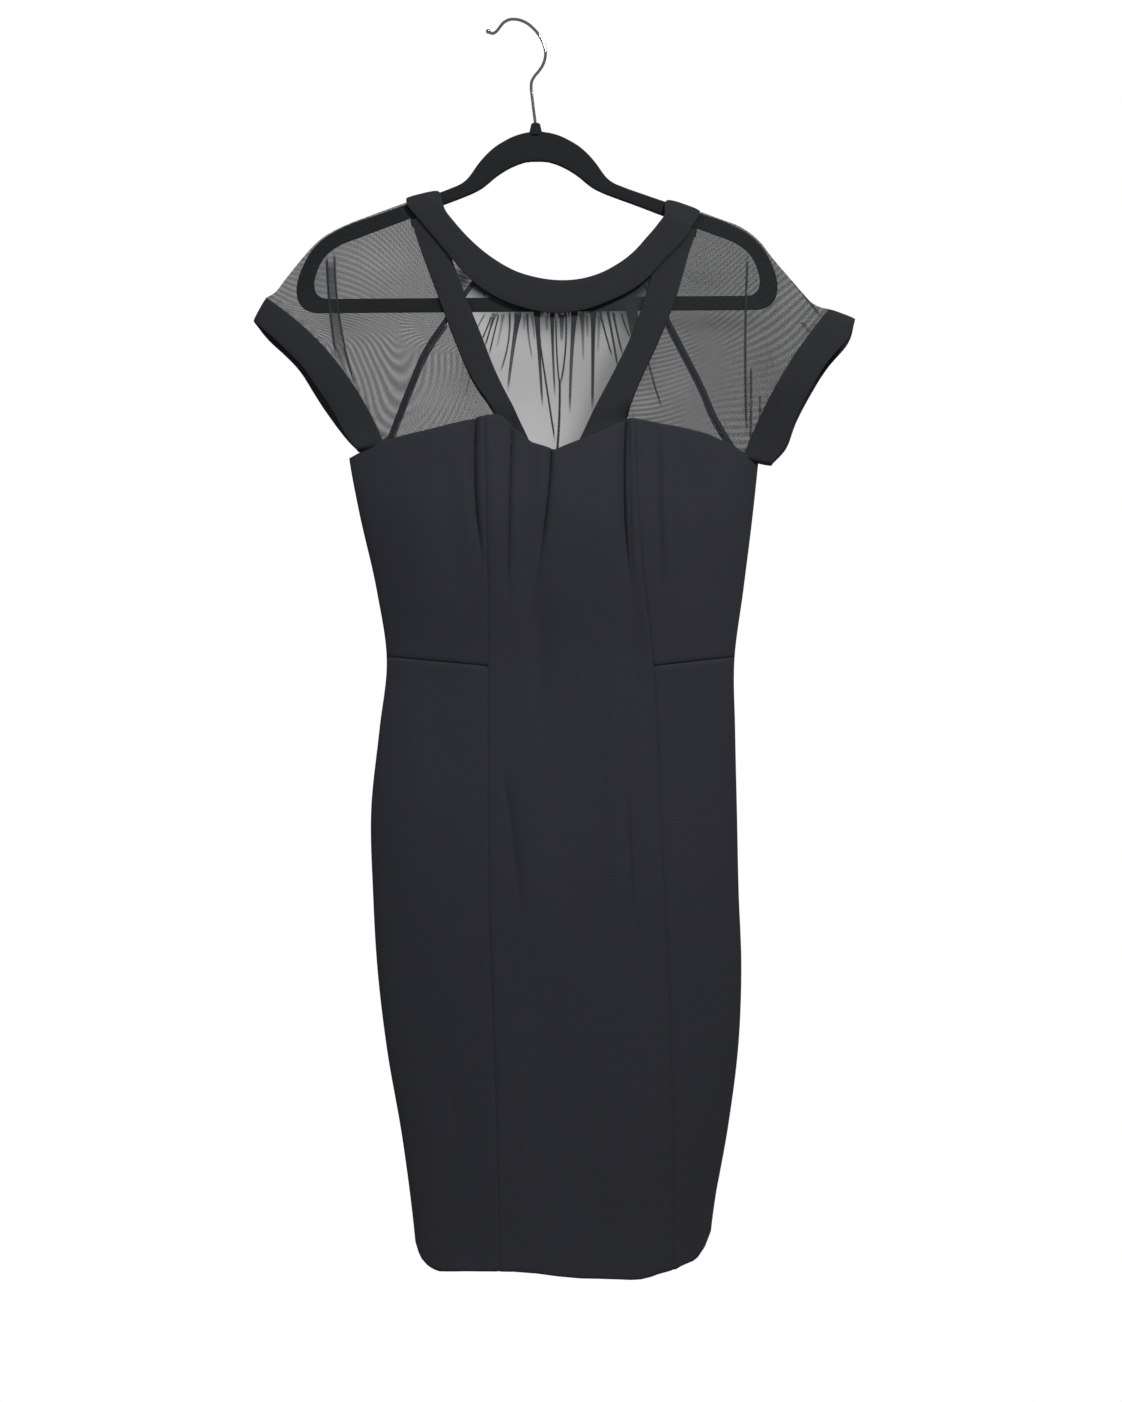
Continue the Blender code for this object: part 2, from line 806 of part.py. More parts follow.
def curve_reader(points):
    """A function from 0 to 1 along a smooth curve through the points."""
    places = along_curve(points, 24)
    spots = np.linspace(0, 1, len(places))
    xs = [p[0] for p in places]
    zs = [p[1] for p in places]
    return lambda f: (float(np.interp(f, spots, xs)), float(np.interp(f, spots, zs)))


def patch(top, foot, left, right, u, v):
    """A place inside four edges: top(u), foot(u), left(v) and right(v)."""
    spot = []
    for k in (0, 1):
        across = mix(left(v)[k], right(v)[k], u)
        down = mix(top(u)[k], foot(u)[k], v)
        corners = mix(mix(top(0)[k], foot(0)[k], v), mix(top(1)[k], foot(1)[k], v), u)
        spot.append(across + down - corners)
    return spot


def make_yoke():
    left, right = SLEEVES["left"], SLEEVES["right"]
    turns = [math.radians(a) for a in (68, 90, 112)]
    under_band = [neck_edge(a, neck_width(a) / 2 - TUCK) for a in turns]
    top = curve_reader([raglan(left, 0), *under_band, raglan(right, 0)])
    foot_left = raglan(left, 1.0)[0]
    foot_right = raglan(right, 1.0)[0]
    gap = SEAM_GAP / 2

    def foot(u):
        across = mix(foot_left, foot_right, u)
        return across, front_top(across) + TUCK

    def left_edge(v):
        across, below = raglan(left, v)
        return across + gap, below

    def right_edge(v):
        across, below = raglan(right, v)
        return across - gap, below

    def place(u, v):
        return on_body("front", *patch(top, foot, left_edge, right_edge, u, v), MESH_LIFT)

    columns = [(x - YOKE_COLUMNS[0]) / (YOKE_COLUMNS[-1] - YOKE_COLUMNS[0]) for x in YOKE_COLUMNS]
    rows = spaced(SLEEVE_COLUMNS, 0.0)
    sheet("yoke_front", place, columns, rows, MESH_CLOTH, "mesh", offset=0.0)


def make_back_yokes():
    for name, sleeve in SLEEVES.items():
        toward = -sleeve["sign"]

        def place(u, v, sleeve=sleeve, toward=toward):
            seam = raglan(sleeve, mix(sleeve["back_from"] + 0.04, 1.0, v))
            strap = strap_point(sleeve["strap"], mix(sleeve["strap_from"] + 0.03, 1.0, v), 0.12)
            across = mix(seam[0] + toward * SEAM_GAP / 2, strap[0], u)
            below = mix(seam[1], strap[1], u) + TUCK * v
            return on_body("back", across, below, MESH_LIFT)

        sheet(f"yoke_back_{name}", place, spaced(7, 0.0), spaced(6, 0.0), MESH_CLOTH, "mesh", offset=0.0)


def sleeve_edges(name, side):
    """The four edges of one face of a sleeve: ridge, raglan seam, neck edge and cuff seam."""
    sleeve = SLEEVES[name]
    sign = sleeve["sign"]
    rise = MESH_WRAP - HANGER_THICK / 2 + 0.3
    neck_end = SHOULDER_EDGES[name][1] + sign * BESIDE_BAND
    leaves = sleeve["shoulder"][1][1]
    on_arm = [(x, hanger_top(x) - rise) for x in np.linspace(neck_end, leaves, 5)[:-1]]
    under_arm = (neck_end, hanger_top(neck_end) + BAND_WRAP)
    ridge = curve_reader(on_arm + [row[1:] for row in sleeve["shoulder"][1:]])
    seam_from = 0.0 if side == "front" else sleeve["back_from"]
    top = sleeve["shoulder"][-1][1:]
    corner = raglan(sleeve, 1.0)
    bow = -sign * sleeve["seam_bow"][side]
    if side == "front":
        turns = [math.radians(a if sign < 0 else 180 - a) for a in (18, 30, 42)]
        beside = [neck_edge(a, neck_width(a) / 2 + BESIDE_BAND) for a in turns]
    else:
        beside = [strap_point(sleeve["strap"], a, 0.0) for a in (0.08, 0.2, 0.36)]
        beside = [(x + sign * BESIDE_BAND, z) for x, z in beside]
    first = raglan(sleeve, seam_from)
    neck = curve_reader([ridge(0), under_arm, *beside, (first[0] + sign * SEAM_GAP / 2, first[1])])

    def seam(s):
        across, below = raglan(sleeve, mix(seam_from, 1.0, s))
        return across + sign * SEAM_GAP / 2, below

    def cuff(t):
        return bowed(top, corner, bow * (1 if sign < 0 else 1), t)

    return ridge, seam, neck, cuff


def sleeve_surface(name):
    """place(s, t) for a sleeve: s runs from the neck to the cuff, t from the back seam (-1) over the ridge to the front."""
    edges = {side: sleeve_edges(name, side) for side in ("front", "back")}

    def place(s, t):
        side = "front" if t >= 0 else "back"
        ridge, seam, neck, cuff = edges[side]
        f = abs(t)
        across, below = patch(ridge, seam, neck, cuff, s, f)
        drop = below - ridge(s)[1]
        bend = math.sqrt(max(MESH_WRAP**2 - max(MESH_WRAP - drop, 0) ** 2, 0.0)) / MESH_WRAP
        body_depth = depth_at(side, across, below) + SEAM_GAP / 2 + MESH_LIFT
        open_depth = 5.0 + (CUFF_DEPTH - 5.0) * math.sin(math.pi * f)
        share = s**3 * (1 - f**4)
        out = max(mix(body_depth, open_depth, share), MESH_WRAP if f < 0.5 else 3.0)
        sign = -1 if side == "front" else 1
        return Vector((across, sign * out * bend, -below)) * MM

    return place


def make_sleeves():
    half = [0.012, 0.04, 0.13, 0.28, 0.45, 0.63, 0.82, 1.0]
    rows = [-t for t in reversed(half)] + [0.0] + half
    for name in SLEEVES:
        columns = spaced(SLEEVE_COLUMNS, 0.0)
        sheet(f"sleeve_{name}", sleeve_surface(name), columns, rows, MESH_CLOTH, "mesh", offset=0.0)


def make_cuffs():
    for name, sleeve in SLEEVES.items():
        surface = sleeve_surface(name)
        half = [0.02, 0.06, 0.18, 0.36, 0.55, 0.75, 0.92, 1.0]
        stations = [0.0] + half + ["under"] * 3 + [-t for t in reversed(half)] + [0.0]
        stations = list(enumerate(stations))

        def edge_point(station, sleeve=sleeve, surface=surface):
            """The cuff's inner and outer edge at one place round the loop."""
            i, t = station
            if t == "under":
                f = (i - 8) / 4
                inner = surface(1.0, 1.0).lerp(surface(1.0, -1.0), f)
                outer = Vector((sleeve["cuff_foot"][0] * MM, inner.y, -sleeve["cuff_foot"][1] * MM))
                return inner, outer
            inner = surface(1.0, t)
            side = "front" if t >= 0 else "back"
            bow = -sleeve["sign"] * sleeve["edge_bow"][side]
            across, below = bowed(sleeve["cuff_top"], sleeve["cuff_foot"], bow, abs(t))
            return inner, Vector((across * MM, inner.y * 1.08, -below * MM))

        def place(station, v, edge_point=edge_point):
            inner, outer = edge_point(station)
            start = (SEAM_GAP + 0.2) * MM / (outer - inner).length
            return inner.lerp(outer, mix(start, 1.0, v))

        sheet(f"cuff_{name}", place, stations, [0.0, 0.5, 1.0], BAND, "crepe", offset=0.0, ring=True)


# ---------------------------------------------------------------- back zip


def block(name, low, high, finish, bevel):
    """A box between two corners in millimetres, with its edges rounded."""
    made = bmesh.new()
    bmesh.ops.create_cube(made, size=1.0)
    for vert in made.verts:
        vert.co = Vector([mix(a, b, c + 0.5) * MM for a, b, c in zip(low, high, vert.co)])
    bmesh.ops.bevel(
        made,
        geom=made.edges[:],
        offset=bevel * MM,
        segments=2,
        affect="EDGES",
        profile=0.5,
    )
    mesh = bpy.data.meshes.new(name)
    made.to_mesh(mesh)
    made.free()
    return new_object(name, mesh, finish)


def make_zip_tape():
    def place(u, v):
        below = mix(SLIDER_AT - 8, SLIDER_AT - 8 + ZIP_LENGTH, v)
        return on_body("back", back_seam(below) + (u - 0.5) * ZIP_TAPE, below, MESH_LIFT)

    sheet("zip_tape", place, [0.0, 1.0], spaced(14, 0.0), MESH_CLOTH, "tape", offset=0.0)


def make_slider_and_pull():
    x = back_seam(SLIDER_AT)
    foot = SLIDER_AT + SLIDER_TALL / 2
    inside = on_body("back", x, foot, CREPE).y / MM + LAYER_GAP
    face = inside + SLIDER_THICK
    hinge = SLIDER_AT - BRIDGE_UP
    half = SLIDER_WIDE / 2

    slider = block(
        "zip_slider",
        (x - half, inside, -foot),
        (x + half, face, -foot + SLIDER_TALL),
        "enamel",
        0.7,
    )
    turns = [math.radians(a) for a in range(0, 181, 20)]
    arch = [(x, face + BRIDGE_RADIUS * math.sin(a), -hinge + BRIDGE_RADIUS * math.cos(a)) for a in turns]
    legs = [(x, face - 1, arch[0][2])], [(x, face - 1, arch[-1][2])]
    bridge = as_mesh(wire_curve("bridge", legs[0] + arch + legs[1], BRIDGE_WIRE / 2, "enamel"))
    boolean(slider, bridge, "UNION")

    axis = face + PULL_RISE
    near, far = axis - PULL_THICK / 2, axis + PULL_THICK / 2
    half = PULL_WIDE / 2
    pull = block(
        "zip_pull",
        (x - half, near, -hinge - PULL_LONG),
        (x + half, far, -hinge + PULL_THICK / 2),
        "enamel",
        0.3,
    )
    half = WINDOW_WIDE / 2
    window = block(
        "window",
        (x - half, near - 1, -hinge - WINDOW_TO),
        (x + half, far + 1, -hinge - WINDOW_FROM),
        "enamel",
        0.2,
    )
    boolean(pull, window, "DIFFERENCE")
    origin = Vector((x, axis, -hinge)) * MM
    pull.data.transform(Matrix.Translation(-origin))
    pull.location = origin


def start():
    """Clears the scene and makes the collections for the dress and for its cutters."""
    for obj in list(bpy.data.objects):
        bpy.data.objects.remove(obj)
    made = bpy.data.collections.new("Sheath dress")
    bpy.context.scene.collection.children.link(made)
    return made


DRESS = start()
make_front_panels()
make_back_panels()
make_hanger()
make_hook()
make_neckband()
make_straps()
make_yoke()
make_back_yokes()
make_sleeves()
make_cuffs()
make_zip_tape()
make_slider_and_pull()
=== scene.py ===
# %% [markdown]
# # A sheath dress on its hanger
#
# This lesson dresses a plain model of a black sheath: a fitted crepe body with princess seams, a sheer net yoke and
# cap sleeves, a folded neckband, two straps, and a flocked hanger with a wire hook. The plain model already fixes every
# size. Here each cloth panel is made again as a thin shell with its folds, and each material gets its surface.
#
# First the frame is loaded. It brings in the plain model, in metres, with the dress's front facing -Y.

import math

import bmesh
import bpy
import numpy as np
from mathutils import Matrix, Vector


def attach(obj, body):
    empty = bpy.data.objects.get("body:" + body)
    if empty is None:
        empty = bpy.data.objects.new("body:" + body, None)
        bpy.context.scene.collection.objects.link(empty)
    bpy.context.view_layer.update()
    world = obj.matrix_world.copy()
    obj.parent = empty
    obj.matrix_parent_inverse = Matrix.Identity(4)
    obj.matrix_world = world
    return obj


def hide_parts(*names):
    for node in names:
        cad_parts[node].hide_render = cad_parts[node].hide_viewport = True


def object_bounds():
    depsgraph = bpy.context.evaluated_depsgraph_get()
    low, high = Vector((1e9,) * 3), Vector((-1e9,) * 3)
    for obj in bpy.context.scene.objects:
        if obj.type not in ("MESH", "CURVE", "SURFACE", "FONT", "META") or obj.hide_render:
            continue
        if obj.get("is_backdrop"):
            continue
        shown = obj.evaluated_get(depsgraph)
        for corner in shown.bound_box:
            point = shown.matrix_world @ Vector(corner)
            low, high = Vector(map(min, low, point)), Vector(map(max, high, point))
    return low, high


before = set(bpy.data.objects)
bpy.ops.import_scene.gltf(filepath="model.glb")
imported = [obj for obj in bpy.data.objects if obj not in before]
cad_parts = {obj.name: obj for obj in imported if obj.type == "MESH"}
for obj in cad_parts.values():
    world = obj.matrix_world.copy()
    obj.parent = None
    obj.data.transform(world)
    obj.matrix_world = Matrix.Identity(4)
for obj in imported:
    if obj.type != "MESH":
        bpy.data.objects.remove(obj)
cad_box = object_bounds()
bpy.ops.object.select_all(action="DESELECT")
MM = 0.001
SIGNS = {"left": -1, "right": 1}
OTHER = {"left": "right", "right": "left"}

# %% [markdown]
# ## Sizes of the dress
#
# A pattern cutter works from a table of widths at known heights. The tables below do the same: "below" is the distance
# in millimetres under the hook's seat, and "across" the distance to the right of it. A smooth curve is read through the
# rows, so a short table is enough for a flowing outline.

# %% Body tables
BODY = (
    ("below", "left", "right", "front", "back", "turn"),
    (150, -177, 250, 8, 8, 0),
    (200, -173, 246, 9, 9, 0),
    (250, -170, 243, 11.5, 10.5, 0),
    (300, -165, 237, 14, 12.5, 0),
    (360, -158, 230, 19.5, 15, 0),
    (410, -152.7, 225.3, 27, 17.5, 0),
    (455, -144.3, 220.6, 34, 20, 0),
    (530, -127.5, 211.3, 33, 20, 0),
    (595, -118.2, 203, 28, 20, 0),
    (660, -124.8, 203.9, 31, 24, 0.015),
    (735, -132.2, 205.8, 37, 30, 0.03),
    (809, -130.3, 207.6, 40, 32, 0.045),
    (883, -125.7, 210.4, 38, 31, 0.06),
    (958, -116.4, 207.6, 35, 29, 0.075),
    (1032, -103.3, 198.3, 33, 27, 0.09),
    (1107, -93.1, 185.3, 31, 26, 0.105),
    (1180, -86, 177, 30, 25, 0.12),
)

PRINCESS = (
    ("below", "left", "right"),
    (370, -27.5, 110.5), (435, -26, 112.2), (510, -24.4, 117.5), (595, -24.1, 127),
    (660, -24, 131.3), (740, -23.5, 134), (812, -22.8, 137.6), (900, -20, 141.8),
    (980, -17.3, 144.6), (1080, -14.8, 146), (1160, -13.9, 146),
)

TOP_FRONT = (
    ("across", "below"),
    (-153, 407), (-120, 391.7), (-78, 382.4), (-34.5, 371.8), (-26, 370), (-17, 369.4), (-11.5, 370.8), (-8, 374.5),
    (2, 384), (16, 395), (29, 399.2), (38, 402.4), (46, 398.6), (57.5, 394), (78, 385.6), (98, 375.8), (103, 373.4),
    (108, 372.6), (122, 374.9), (140, 378.4), (159, 381.6), (178, 386.3), (198, 395), (214, 404.2), (225.5, 410.6),
)

TOP_BACK = (
    ("across", "below"),
    (-153, 407), (-120, 397), (-60, 385), (-13.5, 371.5), (16, 396), (36.5, 432), (57.5, 395),
    (101.6, 375.5), (134, 383), (204, 399), (225.5, 410.6),
)

HEM = (
    ("across", "below"),
    (-91, 1130), (-88, 1140), (-85, 1146), (-80, 1151), (-75, 1154), (-69, 1156), (-45, 1154.6), (-20, 1154),
    (0, 1154.2), (20, 1156), (40, 1159.2), (60, 1161.8), (79, 1163.1), (97, 1164.8), (107, 1166), (116, 1166.2),
    (125, 1164.9), (132, 1163), (149, 1160.2), (155, 1157.6), (160, 1156.2), (165.5, 1154.8), (170, 1152),
    (176.7, 1143.4), (182.5, 1130), (185, 1122), (189, 1110),
)

WAIST_AT_SIDE, WAIST_AT_PRINCESS, WAIST_AT_BACK = 592.0, 601.0, 598.0
BODY_MIDDLE, BACK_CENTRE, BACK_LEAN, BACK_V = 36.0, 36.5, 0.0105, 432.0
SLIT_TOP, SLIT_FOOT, SLIT_OPEN = 985.0, 1150.0, 5.0
print("body table rows", len(BODY) - 1)


# %% Read a table on a smooth curve
def column(table, name):
    place = table[0].index(name)
    return np.array([row[place] for row in table[1:]], float)


def curve(table, name):
    """A function that reads one column, on a smooth curve, at an array of values of the table's first column."""
    at, wanted = column(table, table[0][0]), column(table, name)
    slopes = np.gradient(wanted, at)

    def value(x):
        x = np.clip(x, at[0], at[-1])
        i = np.clip(np.searchsorted(at, x) - 1, 0, len(at) - 2)
        span = at[i + 1] - at[i]
        f = (x - at[i]) / span
        start = wanted[i] * (1 + 2 * f) * (1 - f) ** 2 + slopes[i] * span * f * (1 - f) ** 2
        return start + wanted[i + 1] * f * f * (3 - 2 * f) + slopes[i + 1] * span * f * f * (f - 1)

    return value


def straight(table):
    """A function that reads an edge in straight runs."""
    across, below = column(table, "across"), column(table, "below")
    return lambda x: np.interp(x, across, below)


def ease(f):
    f = np.clip(f, 0.0, 1.0)
    return f * f * (3 - 2 * f)


def bell(gap, width):
    return np.exp(-((gap / width) ** 2))


def mix(a, b, f):
    return a + (b - a) * f


body = {name: curve(BODY, name) for name in BODY[0][1:]}
princess = {name: curve(PRINCESS, name) for name in ("left", "right")}
front_top, back_top, hem = straight(TOP_FRONT), straight(TOP_BACK), straight(HEM)
print("waist width, mm:", round(float(body["right"](595) - body["left"](595)), 1))

# %% [markdown]
# ## Creases
#
# On a hanger nobody fills the bust, so the crepe sinks beside the princess seams and stands up between them. Each
# crease is one row: a path through three points, how wide it is to its left and right, how deep it goes, and how
# quickly it fades at each end. A negative depth is a trough, a positive one a ridge. None of them repeats, because
# even rows of equal folds would look like corrugated card.

# %% Crease tables
CREASES = ("x1", "z1", "x2", "z2", "x3", "z3", "left", "right", "depth", "sharp", "in", "out")

FRONT_CREASES = (
    CREASES,
    (-33.5, 350, -35.2, 438, -25.2, 524, 6.5, 1.6, -6.5, 1.3, 0.14, 0.45),
    (-24, 352, -22, 450, -17, 560, 9, 9, 2.2, 2.2, 0.10, 0.55),
    (-1.8, 358, -4.2, 440, -6.2, 574, 2, 3.2, -4.4, 1.3, 0.16, 0.5),
    (14, 362, 13, 450, 8, 570, 13, 11, -3.6, 2.6, 0.16, 0.5),
    (34.6, 380, 29.4, 464, 17.6, 534, 6, 1.7, -6.2, 1.3, 0.16, 0.42),
    (47, 390, 46, 460, 42, 580, 14, 20, 1.6, 2, 0.25, 0.5),
    (20, 496, 22, 570, 28, 700, 10, 12, -2.8, 1.9, 0.35, 0.5),
    (105.2, 350, 101.2, 437, 108, 537, 7.5, 1.6, -6.8, 1.3, 0.14, 0.4),
    (111.5, 360, 111, 450, 114, 560, 4, 6, 1.8, 2, 0.14, 0.4),
    (106.5, 366, 106, 440, 110, 540, 0.9, 0.9, -0.8, 2, 0.14, 0.4),
    (119.5, 372, 117, 440, 118, 540, 1.1, 1.1, -0.9, 2, 0.14, 0.4),
    (132, 376, 132.6, 440, 137, 556, 2, 3, -2.6, 1.5, 0.16, 0.4),
    (141, 380, 141, 450, 143, 560, 5, 7, 1.3, 2, 0.2, 0.4),
    (163, 380, 162, 460, 165, 580, 17, 17, -4.6, 2, 0.3, 0.5),
    (110, 505, 110.5, 570, 114, 660, 10, 9, -2.8, 1.9, 0.35, 0.5),
    (84, 384, 80, 450, 82, 560, 10, 10, 1.3, 2, 0.2, 0.5),
    (-58, 392, -56, 460, -48, 560, 12, 12, -1.8, 2, 0.3, 0.5),
    (-96, 400, -90, 480, -84, 590, 22, 18, 1.8, 2, 0.3, 0.5),
    (-11.5, 694, 1.6, 780, 8.5, 890, 1.6, 6.5, -3.4, 1.4, 0.16, 0.6),
    (103.6, 690, 106.2, 768, 112, 880, 1.8, 1.8, -1.8, 1.5, 0.25, 0.5),
    (117, 620, 117.5, 740, 119, 870, 7, 8, 1.4, 2, 0.3, 0.5),
    (93, 560, 92, 690, 94, 900, 10, 10, 2, 2, 0.3, 0.4),
    (52, 600, 50, 740, 54, 930, 22, 22, -2.8, 2, 0.3, 0.4),
    (-72, 560, -70, 640, -66, 760, 20, 20, -1.6, 2, 0.3, 0.5),
    (164, 560, 166, 660, 168, 800, 18, 16, -1.5, 2, 0.3, 0.5),
    (-60, 968, -56, 1004, -50, 1040, 7, 5, -1.6, 2, 0.35, 0.5),
    (20, 840, 30, 960, 34, 1120, 26, 24, -1.8, 2, 0.3, 0.4),
    (92, 860, 94, 1000, 92, 1150, 22, 24, 1.5, 2, 0.3, 0.3),
    (-46, 1040, -44, 1090, -40, 1160, 16, 14, -1.4, 2, 0.3, 0.2),
)

BACK_CREASES = (
    CREASES,
    (-30, 400, -20, 470, -6, 600, 9, 7, -3.4, 1.6, 0.25, 0.5),
    (104, 400, 92, 480, 84, 610, 8, 9, -3.2, 1.6, 0.25, 0.5),
    (-74, 405, -66, 480, -60, 590, 14, 14, -2, 2, 0.3, 0.5),
    (150, 405, 146, 490, 140, 590, 14, 15, -2, 2, 0.3, 0.5),
    (4, 470, 8, 530, 14, 610, 8, 8, 1.6, 2, 0.3, 0.5),
    (70, 460, 66, 530, 62, 600, 8, 8, 1.4, 2, 0.3, 0.5),
    (-4, 660, -2, 770, 2, 900, 10, 12, -2.4, 1.8, 0.35, 0.5),
    (92, 690, 94, 800, 96, 940, 13, 10, -2.5, 1.8, 0.35, 0.5),
    (-60, 600, -58, 650, -70, 720, 14, 14, -1.6, 2, 0.3, 0.5),
    (140, 600, 138, 650, 148, 720, 14, 14, -1.6, 2, 0.3, 0.5),
    (0, 960, 6, 1040, 8, 1150, 16, 18, 1.5, 2, 0.35, 0.3),
    (90, 940, 86, 1040, 84, 1150, 20, 18, -1.6, 2, 0.3, 0.3),
)
print("creases in front", len(FRONT_CREASES) - 1, "and behind", len(BACK_CREASES) - 1)


# %% Add up the creases
def through_three(x1, z1, x2, z2, x3, z3):
    """The place across of a path through three points, at an array of heights."""

    def place(z):
        a = x1 * (z - z2) * (z - z3) / ((z1 - z2) * (z1 - z3))
        b = x2 * (z - z1) * (z - z3) / ((z2 - z1) * (z2 - z3))
        return a + b + x3 * (z - z1) * (z - z2) / ((z3 - z1) * (z3 - z2))

    return place


def crease_depth(table, across, below):
    """How far all the creases of a table move the cloth out or in."""
    total = np.zeros_like(across)
    for x1, z1, x2, z2, x3, z3, left, right, depth, sharp, fade_in, fade_out in table[1:]:
        run = (below - z1) / (z3 - z1)
        gap = across - through_three(x1, z1, x2, z2, x3, z3)(np.clip(below, z1, z3))
        width = np.where(gap < 0, left, right)
        fade = ease(run / fade_in) * ease((1 - run) / fade_out)
        total += depth * fade * np.exp(-(np.abs(gap) / width) ** sharp)
    return total

LENS_POWER, LENS_ROUND = 2.2, 0.69


def span_at(below):
    """The middle of the body and half its width, at a height."""
    left, right = body["left"](below), body["right"](below)
    return (left + right) / 2, (right - left) / 2


def depth_at(side, across, below):
    """How far the body's surface stands from the hanger's plane: a lens-shaped section with the creases added."""
    centre, half = span_at(below)
    t = np.clip((across - centre) / half, -1.0, 1.0)
    lens = np.maximum(1 - np.abs(t) ** LENS_POWER, 0.0) ** LENS_ROUND
    creases = crease_depth(FRONT_CREASES if side == "front" else BACK_CREASES, across, below)
    return body[side](below) * lens + creases * (1 - t**8)


def on_body(side, across, below, lift=0.0):
    """Points of the body's surface in millimetres, moved out by lift."""
    across, below = np.broadcast_arrays(np.asarray(across, float), np.asarray(below, float))
    out = depth_at(side, across, below) + lift
    y = (-out if side == "front" else out) + body["turn"](below) * (across - span_at(below)[0])
    return np.stack([across, y, -below], -1)


print("front at the bust stands out, mm:", round(float(-on_body("front", 36, 455)[1]), 1))

# %% [markdown]
# ## A sheet of cloth
#
# Every panel is a grid of points on a surface, closed into a thin wall by Solidify. A grid suits cloth: its rows follow
# the grain, so a map of real millimetres can be laid over it, and weave and net then keep their true scale on every
# panel.


# %% Cloth helper
def spread(count, crowd=0.0):
    """count + 1 places from 0 to 1, closer together at both ends as crowd goes from 0 to 1."""
    i = np.arange(count + 1) / count
    return mix(i, (1 - np.cos(np.pi * i)) / 2, crowd)


def normals_of(points):
    """The outward direction at each point of a grid."""
    found = np.cross(np.gradient(points, axis=0), np.gradient(points, axis=1))
    return found / np.maximum(np.linalg.norm(found, axis=-1, keepdims=True), 1e-9)


def lengths_along(points, axis):
    steps = np.linalg.norm(np.diff(points, axis=axis), axis=-1)
    return np.concatenate([np.zeros_like(np.take(steps, [0], axis)), np.cumsum(steps, axis=axis)], axis=axis)


def link(name, data):
    obj = bpy.data.objects.new(name, data)
    bpy.context.scene.collection.objects.link(obj)
    return obj


def cloth(name, points, thick, material, node, offset=0.0, flip=False, ring=False, **marks):
    """A closed thin wall on a grid of points in millimetres, in place of one node of the plain model.

    The wall lies about the grid, or outside it with offset 1. A ring closes on itself. marks are numbers at its points.
    """
    rows, cols = points.shape[0], points.shape[1] - ring
    index = np.arange(rows * cols).reshape(rows, cols)
    if ring:
        index = np.append(index, index[:, :1], axis=1)
    quads = np.stack([index[:-1, :-1], index[1:, :-1], index[1:, 1:], index[:-1, 1:]], -1).reshape(-1, 4)
    if flip:
        quads = quads[:, ::-1]
    mesh = bpy.data.meshes.new(name)
    mesh.from_pydata((points[:, :cols].reshape(-1, 3) * MM).tolist(), [], quads.tolist())
    along, down = lengths_along(points, 1), lengths_along(points, 0)
    along = along - along[:, points.shape[1] // 2][:, None]
    flat = np.stack([along, down], -1)[:, :cols].reshape(-1, 2) * MM
    mesh.uv_layers.new(name="flat").data.foreach_set("uv", flat[quads].astype(np.float32).ravel())
    for label, values in marks.items():
        mesh.attributes.new(label, "FLOAT", "POINT").data.foreach_set("value", values.astype(np.float32).ravel())
    mesh.shade_smooth()
    mesh.materials.append(material)
    obj = link(name, mesh)
    wall = obj.modifiers.new("Wall", "SOLIDIFY")
    wall.thickness, wall.offset = thick * MM, offset
    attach(obj, "dress")
    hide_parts(node)

# %% [markdown]
# ## Finishes
#
# Colours are written as sRGB hex, as a paint or dye chart gives them, and turned to linear light by one function. Other
# small functions add a node with its values and links, so each material reads as a short list of what it is made of.


# %% Material helpers
def srgb(code):
    parts = [int(code[i : i + 2], 16) / 255 for i in (1, 3, 5)]
    return [p / 12.92 if p <= 0.04045 else ((p + 0.055) / 1.055) ** 2.4 for p in parts] + [1.0]


def give(node, key, value):
    """Gives one input, named or numbered, a value or a link. A node stands for its first output."""
    socket = node.inputs[int(key[1:]) if key[1:].isdigit() else key.replace("_", " ")]
    value = value.outputs[0] if isinstance(value, bpy.types.Node) else value
    if isinstance(value, bpy.types.NodeSocket):
        node.id_data.links.new(value, socket)
    else:
        socket.default_value = srgb(value) if isinstance(value, str) else value


def add(tree, kind, **inputs):
    """A node of a kind. Each input, named or numbered, gets a value or a link."""
    node = tree.nodes.new("ShaderNode" + kind)
    for key, value in inputs.items():
        give(node, key, value)
    return node


def maths(tree, operation, *values):
    node = add(tree, "Math")
    node.operation = operation
    for place, value in enumerate(values):
        give(node, f"i{place}", value)
    return node


def finish(name, **inputs):
    """A new material with its Principled shader's plain settings, and its node tree and shader."""
    made = bpy.data.materials.new(name)
    made.use_nodes = True
    shader = made.node_tree.nodes["Principled BSDF"]
    for key, value in inputs.items():
        give(shader, key, value)
    return made, made.node_tree, shader


print("linear grey of #808080:", round(srgb("#808080")[0], 4))
